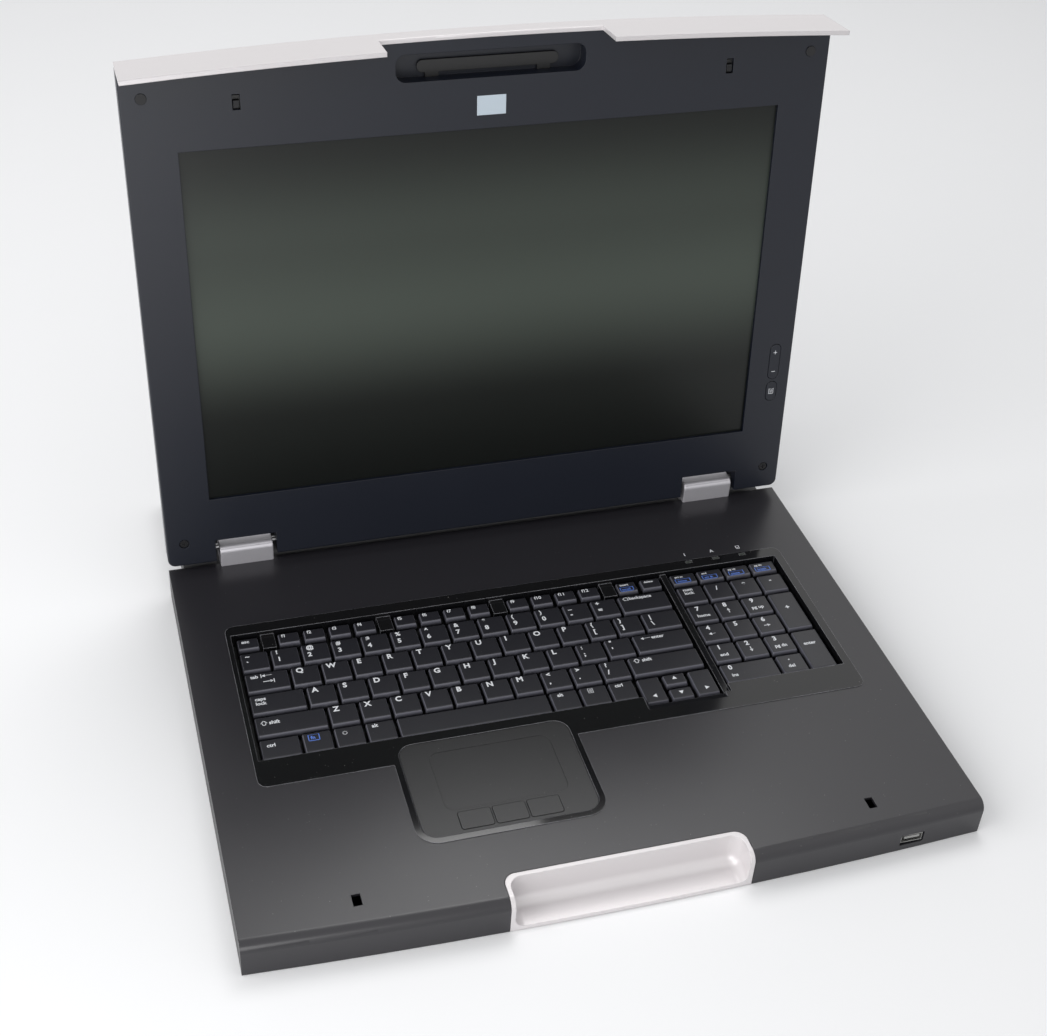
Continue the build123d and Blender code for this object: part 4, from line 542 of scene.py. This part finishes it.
# %% Layout of the keys, in millimetres
PITCH, CAP, ROW = 19.05, 18.2, 18.0
LEFT, RIGHT = -181.6, 100.3
BACKS = [-83.2 - PITCH * row for row in range(5)]
UPPER, MIDDLE, LOWER = LEFT + 28.5, LEFT + 34.9, LEFT + 44.3
TAB_WIDE, CAPS_WIDE, SHIFT_WIDE = 27.65, 34.05, 43.45
CTRL_WIDE, SPACE_WIDE, ZERO_WIDE = 24.4, 94.4, 37.2
MODIFIERS = [LEFT + 25.25 + PITCH * i for i in range(3)]
SPACE_LEFT, AFTER_SPACE = -99.2, -3.95
LAST_CTRL = (33.9, 50.6)
F_BACK, F_DEPTH, F_WIDTH, F_PITCH = -69.6, 11.6, 14.5, 16.25
F_GROUPS = (-155.8, -80.8, -5.7)
F_LEFTS = [-181.5] + [g + F_PITCH * i for g in F_GROUPS for i in range(4)] + [69.3, 86.1]
ARROW_LEFTS = (52.3, 69.1, 85.9)
ARROW_BACK, ARROW_WIDE, ARROW_DEEP = -160.0, 15.3, 23.6
HALF_BACK, HALF_DEEP = -172.5, 11.1
PAD = [107.5 + PITCH * column for column in range(4)]
SKIRT, TOP = 16.1, 20.6


def line_of(left, back, count):
    """Standard keys side by side: left edge, back edge, width and depth of each."""
    return [(left + PITCH * i, back, CAP, ROW) for i in range(count)]


def wide(left, right_edge, back):
    """One wide key between two edges."""
    return [(left, back, right_edge - left, ROW)]


keys = {
    "function_keys": [(x, F_BACK, F_WIDTH, F_DEPTH) for x in F_LEFTS],
    "number_keys": line_of(LEFT, BACKS[0], 13),
    "key_backspace": wide(LEFT + 13 * PITCH, RIGHT, BACKS[0]),
    "key_tab": wide(LEFT, LEFT + TAB_WIDE, BACKS[1]),
    "upper_letter_keys": line_of(UPPER, BACKS[1], 12) + wide(UPPER + 12 * PITCH, RIGHT, BACKS[1]),
    "key_caps_lock": wide(LEFT, LEFT + CAPS_WIDE, BACKS[2]),
    "middle_letter_keys": line_of(MIDDLE, BACKS[2], 11),
    "key_enter": wide(MIDDLE + 11 * PITCH, RIGHT, BACKS[2]),
    "key_shift_left": wide(LEFT, LEFT + SHIFT_WIDE, BACKS[3]),
    "lower_letter_keys": line_of(LOWER, BACKS[3], 10),
    "key_shift_right": wide(LOWER + 10 * PITCH, RIGHT, BACKS[3]),
    "modifier_keys": wide(LEFT, LEFT + CTRL_WIDE, BACKS[4])
    + [(x, BACKS[4], CAP, ROW) for x in MODIFIERS]
    + line_of(AFTER_SPACE, BACKS[4], 2) + wide(*LAST_CTRL, BACKS[4]),
    "key_space": [(SPACE_LEFT, BACKS[4], SPACE_WIDE, ROW)],
    "key_arrow_left": [(ARROW_LEFTS[0], ARROW_BACK, ARROW_WIDE, ARROW_DEEP)],
    "key_arrow_up": [(ARROW_LEFTS[1], ARROW_BACK, ARROW_WIDE, HALF_DEEP)],
    "key_arrow_down": [(ARROW_LEFTS[1], HALF_BACK, ARROW_WIDE, HALF_DEEP)],
    "key_arrow_right": [(ARROW_LEFTS[2], ARROW_BACK, ARROW_WIDE, ARROW_DEEP)],
    "keypad_keys": [(x, F_BACK, CAP, F_DEPTH) for x in PAD] + line_of(PAD[0], BACKS[0], 4)
    + line_of(PAD[0], BACKS[1], 3) + line_of(PAD[0], BACKS[2], 3)
    + line_of(PAD[0], BACKS[3], 3) + line_of(PAD[2], BACKS[4], 1),
    "key_keypad_plus": [(PAD[3], BACKS[1], CAP, ROW + PITCH)],
    "key_keypad_enter": [(PAD[3], BACKS[3], CAP, ROW + PITCH)],
    "key_keypad_zero": [(PAD[0], BACKS[4], ZERO_WIDE, ROW)],
}
print("keys:", sum(len(group) for group in keys.values()))

# %% One key cap
TOP_NARROWER, TOP_SHORTER, TOP_SET_BACK = 2.2, 3.2, 0.8
CAP_EDGE = 0.5


def key_cap(mesh, left, back, width, depth):
    """Adds one cap with leaning walls and soft edges."""
    middle = Vector((left + width / 2, back - depth / 2, (SKIRT + TOP) / 2)) * MM
    size = Matrix.Diagonal((width * MM, depth * MM, (TOP - SKIRT) * MM, 1))
    cube = bmesh.ops.create_cube(mesh, size=1.0, matrix=Matrix.Translation(middle) @ size)["verts"]
    top = [v for v in cube if v.co.z > middle.z]
    draw_in = ((width - TOP_NARROWER) / width, (depth - TOP_SHORTER) / depth, 1)
    bmesh.ops.scale(mesh, vec=draw_in, space=Matrix.Translation(-middle), verts=top)
    bmesh.ops.translate(mesh, vec=(0, TOP_SET_BACK * MM, 0), verts=top)
    soft = [e for e in {e for v in cube for e in v.link_edges} if any(v in top for v in e.verts)]
    bmesh.ops.bevel(mesh, geom=soft, offset=CAP_EDGE * MM, offset_type="OFFSET", segments=3,
                    profile=0.5, affect="EDGES", material=-1, clamp_overlap=True)


test = bmesh.new()
key_cap(test, *keys["key_space"][0])
print("faces of one cap:", len(test.faces))
test.free()

# %% Turn a bmesh into a finished piece
SAME_PLACE = 0.000001


def finished(name, mesh, material, body, replaced=None, sharp=35):
    """Makes the object, in place, with its finish; edges sharper than an angle stay sharp."""
    bmesh.ops.remove_doubles(mesh, verts=mesh.verts, dist=SAME_PLACE)
    bmesh.ops.recalc_face_normals(mesh, faces=mesh.faces)
    data = bpy.data.meshes.new(name)
    mesh.to_mesh(data)
    mesh.free()
    data.shade_smooth()
    data.set_sharp_from_angle(angle=radians(sharp))
    data.materials.append(material)
    piece = bpy.data.objects.new(name, data)
    bpy.context.scene.collection.objects.link(piece)
    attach(piece, body)
    if replaced:
        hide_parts(replaced)
    return piece


print("pieces can be made")

# %% All key caps
for group, places in keys.items():
    caps = bmesh.new()
    for spot_on_plate in places:
        key_cap(caps, *spot_on_plate)
    cap_piece = finished("caps_" + group, caps, finishes["key_plastic"], group,
                         replaced=group, sharp=60)
    flat_tops = cap_piece.modifiers.new("flat_tops", "WEIGHTED_NORMAL")
    flat_tops.weight = 100
print("cap meshes:", len(keys))

# %% [markdown]
# ## Signs on the keys
# The signs are printed in white ink, and those of the second function level are blue
# and boxed. Words come from Blender's own type, turned into a mesh before it is laid
# on its key. Arrows, boxes and the other signs are drawn with short straight strokes.
# The ink is a layer a few hundredths of a millimetre thick.

# %% Ink and strokes
INK = 0.03
BOLD, STEM, SMALL_TYPE, SMALL_BOLD = 0.10, 0.35, 4, 0.7
printed = dict(shade=0.05, grain=3000, depth=0.00001, edge=0.00001)
ink_white = finish("ink_white", tone(226, 228, 232), 0.5, **printed)
ink_blue = finish("ink_blue", tone(92, 128, 214), 0.5, **printed)


def words(mesh, text, x, y, z, size, centred=False):
    """Lays a word on a level surface, starting or centred at a place."""
    bold = BOLD if size > SMALL_TYPE else BOLD * SMALL_BOLD
    type_data = bpy.data.curves.new("type", "FONT")
    type_data.body = text
    type_data.size = size * MM
    type_data.offset = bold * size * STEM * MM
    type_data.extrude = INK / 2 * MM
    type_data.resolution_u = 3
    type_data.align_x = "CENTER" if centred else "LEFT"
    type_data.align_y = "CENTER"
    setting = bpy.data.objects.new("type", type_data)
    bpy.context.scene.collection.objects.link(setting)
    bpy.context.view_layer.update()
    shaped = setting.evaluated_get(bpy.context.evaluated_depsgraph_get())
    flat = bpy.data.meshes.new_from_object(shaped)
    flat.transform(Matrix.Translation(Vector((x, y, z)) * MM))
    mesh.from_mesh(flat)
    bpy.data.objects.remove(setting)
    bpy.data.curves.remove(type_data)
    bpy.data.meshes.remove(flat)


def strokes(mesh, points, z, width=0.35, closed=False):
    """Draws straight strokes between points."""
    ends = list(points) + ([points[0]] if closed else [])
    for (x0, y0), (x1, y1) in zip(ends, ends[1:]):
        along = Vector((x1 - x0, y1 - y0, 0))
        middle = Matrix.Translation(Vector(((x0 + x1) / 2, (y0 + y1) / 2, z)) * MM)
        heading = Vector((1, 0, 0)).rotation_difference(along.normalized()).to_matrix().to_4x4()
        size = Matrix.Diagonal(((along.length + width) * MM, width * MM, INK * MM, 1))
        bmesh.ops.create_cube(mesh, size=1.0, matrix=middle @ heading @ size)


def pointer(mesh, x, y, z, size, heading):
    """Draws a solid arrow head; heading is in degrees, 0 to the right."""
    spin = Matrix.Rotation(radians(heading), 4, "Z")
    where = Matrix.Translation(Vector((x, y, z)) * MM)
    to_the_right = Matrix.Rotation(radians(-90), 4, "Z")
    bmesh.ops.create_cone(mesh, cap_ends=True, segments=3, radius1=size * MM, radius2=size * MM,
                          depth=INK * MM, matrix=where @ spin @ to_the_right)


print("ink:", ink_white.name, ink_blue.name)

# %% [markdown]
# Each word is listed with the number of its key in the group, its place from the key's
# left and back edges, and its size. Letters stand at the upper left of their keys; the
# number keys carry two signs.

# %% Words of each group
LETTER, DIGIT, SMALL, TINY, BLUE = 5.6, 5.2, 3.8, 2.5, 2.7
UPPER_SHARE = 0.9


def letters(text, size=LETTER):
    """One letter for each key of a row."""
    return [(i, c, 3.5, 3.6, size) for i, c in enumerate(text)]


def pairs(signs, first=0):
    """Two signs for each key: the shifted one above."""
    made_of = []
    for i, (upper, lower) in enumerate(signs):
        made_of.append((first + i, upper, 3.6, 3.5, DIGIT * UPPER_SHARE))
        made_of.append((first + i, lower, 3.7, 9.8, DIGIT))
    return made_of


white_words = {
    "function_keys": [(0, "esc", 3.2, 3.4, SMALL)]
    + [(i + 1, f"f{i + 1}", 2.8, 2.9, SMALL) for i in range(12)]
    + [(13, "insert", 2.9, 2.9, 2.6), (14, "delete", 2.9, 3.2, 2.6)],
    "number_keys": pairs(["~`", "!1", "@2", "#3", "$4", "%5", "^6", "&7", "*8", "(9", ")0",
                          "_-", "+="]),
    "key_backspace": [(0, "backspace", 7.8, 3.2, SMALL)],
    "key_tab": [(0, "tab", 3.9, 3.6, SMALL)],
    "upper_letter_keys": letters("QWERTYUIOP") + pairs(["{[", "}]"], 10)
    + [(12, "|", 5.0, 4.4, DIGIT), (12, "\\", 5.0, 10.4, DIGIT)],
    "key_caps_lock": [(0, "caps", 3.6, 4.2, SMALL), (0, "lock", 3.6, 8.0, SMALL)],
    "middle_letter_keys": letters("ASDFGHJKL") + pairs([":;", "\"'"], 9),
    "key_enter": [(0, "enter", 12.6, 4.0, SMALL)],
    "key_shift_left": [(0, "shift", 8.8, 6.0, SMALL)],
    "lower_letter_keys": letters("ZXCVBNM") + pairs(["<,", ">.", "?/"], 7),
    "key_shift_right": [(0, "shift", 9.2, 4.0, SMALL)],
    "modifier_keys": [(0, "ctrl", 4.4, 5.6, SMALL), (3, "alt", 4.0, 3.4, SMALL),
                      (4, "alt", 5.0, 3.4, SMALL), (6, "ctrl", 4.2, 3.4, SMALL)],
    "keypad_keys": [(0, "prt sc", 3.4, 3.2, TINY), (1, "end", 3.4, 3.2, TINY),
                    (2, "pg up", 3.4, 3.2, TINY), (3, "pg dn", 3.4, 3.2, TINY),
                    (4, "num", 4.2, 3.2, SMALL), (4, "lock", 4.2, 6.6, SMALL),
                    (5, "/", 7.4, 5.6, DIGIT), (6, "*", 7.4, 6.2, DIGIT), (7, "-", 7.4, 5.6, DIGIT),
                    (8, "7", 5.5, 3.7, DIGIT), (8, "home", 4.4, 10.6, SMALL),
                    (9, "8", 5.5, 3.7, DIGIT),
                    (10, "9", 5.5, 3.7, DIGIT), (10, "pg up", 4.2, 10.6, SMALL),
                    (11, "4", 5.5, 3.7, DIGIT), (12, "5", 5.5, 3.7, DIGIT),
                    (13, "6", 5.5, 3.7, DIGIT),
                    (14, "1", 5.5, 3.7, DIGIT), (14, "end", 5.0, 10.6, SMALL),
                    (15, "2", 5.5, 3.7, DIGIT),
                    (16, "3", 5.5, 3.7, DIGIT), (16, "pg dn", 4.2, 10.6, SMALL),
                    (17, ".", 7.4, 3.6, DIGIT), (17, "del", 5.4, 10.6, SMALL)],
    "key_keypad_plus": [(0, "+", 7.0, 15.0, DIGIT)],
    "key_keypad_enter": [(0, "enter", 4.2, 12.4, SMALL)],
    "key_keypad_zero": [(0, "0", 5.5, 3.7, DIGIT), (0, "ins", 5.4, 10.6, SMALL)],
}
blue_words = {
    "function_keys": [(13, "scroll", 3.3, 7.3, BLUE)],
    "modifier_keys": [(1, "fn", 5.2, 4.8, SMALL)],
    "keypad_keys": [(0, "home", 4.4, 7.4, BLUE), (1, "scr lk", 4.2, 7.4, BLUE),
                    (2, "pause", 4.2, 7.4, BLUE), (3, "break", 4.3, 7.4, BLUE)],
}
print("groups with words:", len(white_words))

# %% [markdown]
# Arrows, boxes and the other drawn signs, again by key and by place on the key, in
# millimetres from its left and back edges.

# %% Drawn signs
HAIR, FRAME, OUTLINE, SHAFT = 0.3, 0.45, 0.5, 0.55


def box_round(x, y, half_wide, half_deep):
    """The corners of an upright frame round a word."""
    return [(x - half_wide, y - half_deep), (x + half_wide, y - half_deep),
            (x + half_wide, y + half_deep), (x - half_wide, y + half_deep)]


def shift_sign(mesh, x, y, z):
    """The hollow arrow that points up."""
    corners = [(0, 2.1), (-1.9, 0.1), (-0.9, 0.1), (-0.9, -1.5), (0.9, -1.5), (0.9, 0.1),
               (1.9, 0.1)]
    strokes(mesh, [(x + a, y + b) for a, b in corners], z, OUTLINE, closed=True)


def arrow(mesh, x0, y0, x1, y1, z, head=1.35):
    """A straight arrow with a solid head."""
    strokes(mesh, [(x0, y0), (x1, y1)], z, SHAFT)
    heading = {(1, 0): 0, (-1, 0): 180, (0, 1): 90, (0, -1): -90}
    step = ((x1 > x0) - (x1 < x0), (y1 > y0) - (y1 < y0))
    pointer(mesh, x1, y1, z, head, heading[step])


def white_signs(group, mesh, z):
    """Signs that aren't words, in white."""
    x, y, width, depth = keys[group][0]
    if group in ("key_shift_left", "key_shift_right"):
        shift_sign(mesh, x + 5.8, y - (6.0 if group.endswith("left") else 4.0), z)
    if group == "key_tab":
        arrow(mesh, x + 17.0, y - 3.4, x + 12.2, y - 3.4, z)
        strokes(mesh, [(x + 10.5, y - 2.0), (x + 10.5, y - 4.8)], z, OUTLINE)
        arrow(mesh, x + 11.4, y - 8.6, x + 16.2, y - 8.6, z)
        strokes(mesh, [(x + 17.9, y - 7.2), (x + 17.9, y - 10.0)], z, OUTLINE)
    if group == "key_backspace":
        strokes(mesh, [(x + 3.6, y - 3.2), (x + 5.0, y - 1.9), (x + 7.0, y - 1.9),
                       (x + 7.0, y - 4.5), (x + 5.0, y - 4.5)], z, OUTLINE, closed=True)
    if group == "key_enter":
        arrow(mesh, x + 11.6, y - 4.0, x + 6.8, y - 4.0, z)
    if group.startswith("key_arrow_"):
        heading = {"left": 180, "right": 0, "up": 90, "down": -90}[group.split("_")[-1]]
        forward = depth * (0.69 if heading in (0, 180) else 0.36)
        pointer(mesh, x + width / 2, y - forward, z, 1.8, heading)
    if group == "modifier_keys":
        ring_x, ring_y, radius = keys[group][2][0] + 6.6, keys[group][2][1] - 5.2, 1.3
        ring = [(ring_x + radius * cos(a * pi / 4), ring_y + radius * sin(a * pi / 4))
                for a in range(8)]
        strokes(mesh, ring, z, FRAME, closed=True)
        list_x, list_y = keys[group][5][0] + 7.2, keys[group][5][1] - 3.8
        strokes(mesh, box_round(list_x, list_y, 1.5, 1.8), z, HAIR, closed=True)
        for step in (-0.8, 0.0, 0.8):
            strokes(mesh, [(list_x - 0.8, list_y + step), (list_x + 0.8, list_y + step)], z, 0.28)
    if group == "keypad_keys":
        for index, step in ((9, (0, 1)), (11, (-1, 0)), (13, (1, 0)), (15, (0, -1))):
            ax, ay = keys[group][index][0] + 7.6, keys[group][index][1] - 9.4
            arrow(mesh, ax - 1.9 * step[0], ay - 1.9 * step[1],
                  ax + 0.9 * step[0], ay + 0.9 * step[1], z, head=1.4)


def blue_signs(group, mesh, z):
    """The boxes round the words of the second level, in blue."""
    if group == "function_keys":
        x, y = keys[group][13][:2]
        strokes(mesh, box_round(x + 6.7, y - 7.2, 4.4, 1.8), z, OUTLINE, closed=True)
    if group == "modifier_keys":
        x, y = keys[group][1][:2]
        strokes(mesh, box_round(x + 7.2, y - 4.8, 3.2, 2.3), z, OUTLINE, closed=True)
    if group == "keypad_keys":
        for index in range(4):
            x, y = keys[group][index][:2]
            strokes(mesh, box_round(x + 8.0, y - 7.3, 5.1, 1.8), z, OUTLINE, closed=True)


print("signs ready")

# %% Print the signs on their keys
CLEAR = 0.02
ON_TOP = TOP - INK / 2 + CLEAR
for group, places in keys.items():
    for ink, table, drawn, name in (
        (ink_white, white_words, white_signs, "signs_"),
        (ink_blue, blue_words, blue_signs, "second_signs_"),
    ):
        print_layer = bmesh.new()
        for index, text, dx, dy, size in table.get(group, ()):
            x, y = places[index][:2]
            words(print_layer, text, x + dx, y - dy, ON_TOP, size)
        drawn(group, print_layer, ON_TOP)
        if print_layer.verts:
            finished(name + group, print_layer, ink, group, sharp=30)
        else:
            print_layer.free()
layers_made = [o.name for o in bpy.data.objects if o.name.startswith(("signs_", "second_signs_"))]
print("printed layers:", len(layers_made))

# %% [markdown]
# Three small signs on the deck name the indicator lights behind them: a figure, a
# letter and a scroll sign. They are printed on the deck, so they ride on the tray.

# %% Signs over the indicator lights
DECK_TOP = 22.8
ON_DECK = DECK_TOP + INK / 2
SIGNS_X, SIGNS_Y, SIGN_SIZE = (124.9, 144.3, 163.4), -54.0, 4.0
indicator_signs = bmesh.new()
for sign, sign_x in zip("1A", SIGNS_X):
    words(indicator_signs, sign, sign_x, SIGNS_Y, ON_DECK, SIGN_SIZE, centred=True)
scroll_box = box_round(SIGNS_X[2], SIGNS_Y, 1.1, 1.4)
strokes(indicator_signs, scroll_box, ON_DECK, FRAME, closed=True)
pointer(indicator_signs, SIGNS_X[2], SIGNS_Y - 0.2, ON_DECK, 0.6, -90)
finished("signs_indicators", indicator_signs, ink_white, "tray")
print("indicator signs printed")

# %% [markdown]
# ## Signs on the lid
# The screen's rocker has a plus and a minus, and the button below it a small frame
# with three lines. They lie on the lid's face, which leans back, so they are drawn flat
# and then stood up in the lid's own plane.

# %% The lid's plane
LEAN = radians(5.67)
lid_face = Matrix((
    (1, 0, 0, 0),
    (0, sin(LEAN), -cos(LEAN), 0),
    (0, cos(LEAN), sin(LEAN), DECK_TOP * MM),
    (0, 0, 0, 1),
))
BUTTON_X, BUTTONS_PROUD = 201.8, 0.1
ON_BUTTON = BUTTONS_PROUD + INK / 2
PLUS_Y, MINUS_Y, MENU_Y = 111.7, 97.4, 82.4
ARM = 1.1
print("lid leans back:", round(LEAN, 3), "radians")

# %% Signs of the rocker and the menu button


def level_bar(mesh, y, half, width):
    """Draws a short level stroke in the middle of the lid's buttons."""
    strokes(mesh, [(BUTTON_X - half, y), (BUTTON_X + half, y)], ON_BUTTON, width)


rocker_signs = bmesh.new()
level_bar(rocker_signs, PLUS_Y, ARM, 0.4)
strokes(rocker_signs, [(BUTTON_X, PLUS_Y - ARM), (BUTTON_X, PLUS_Y + ARM)], ON_BUTTON, 0.4)
level_bar(rocker_signs, MINUS_Y, ARM, 0.4)
bmesh.ops.transform(rocker_signs, matrix=lid_face, verts=rocker_signs.verts)
finished("signs_rocker", rocker_signs, ink_white, "screen_rocker")
menu_signs = bmesh.new()
strokes(menu_signs, box_round(BUTTON_X, MENU_Y, 1.5, 1.9), ON_BUTTON, closed=True)
for step in (-0.8, 0.0, 0.8):
    level_bar(menu_signs, MENU_Y + step, 0.7, HAIR)
bmesh.ops.transform(menu_signs, matrix=lid_face, verts=menu_signs.verts)
finished("signs_menu", menu_signs, ink_white, "menu_button")
print("lid signs printed")

# %% [markdown]
# ## Floor
# The drawer stands on a plain pale floor. It is one large face, a little under the
# drawer, and it keeps the soft shadow. Its slight unevenness is far below what shows,
# but keeps it from being a perfect mirror of one colour.

# %% Floor
FLOOR_HALF, UNDER_DRAWER = 6.0, 0.0004
ground = bmesh.new()
bmesh.ops.create_grid(ground, x_segments=1, y_segments=1, size=FLOOR_HALF,
                      matrix=Matrix.Translation((0, 0, -UNDER_DRAWER)))
floor_data = bpy.data.meshes.new("floor")
ground.to_mesh(floor_data)
ground.free()
floor = bpy.data.objects.new("floor", floor_data)
bpy.context.scene.collection.objects.link(floor)
floor_data.materials.append(finish("floor_paper", tone(246, 246, 247), 0.85, shade=0.01,
                                   grain=200, depth=0.00002, edge=0.0001, level=0.1))
print("floor laid")
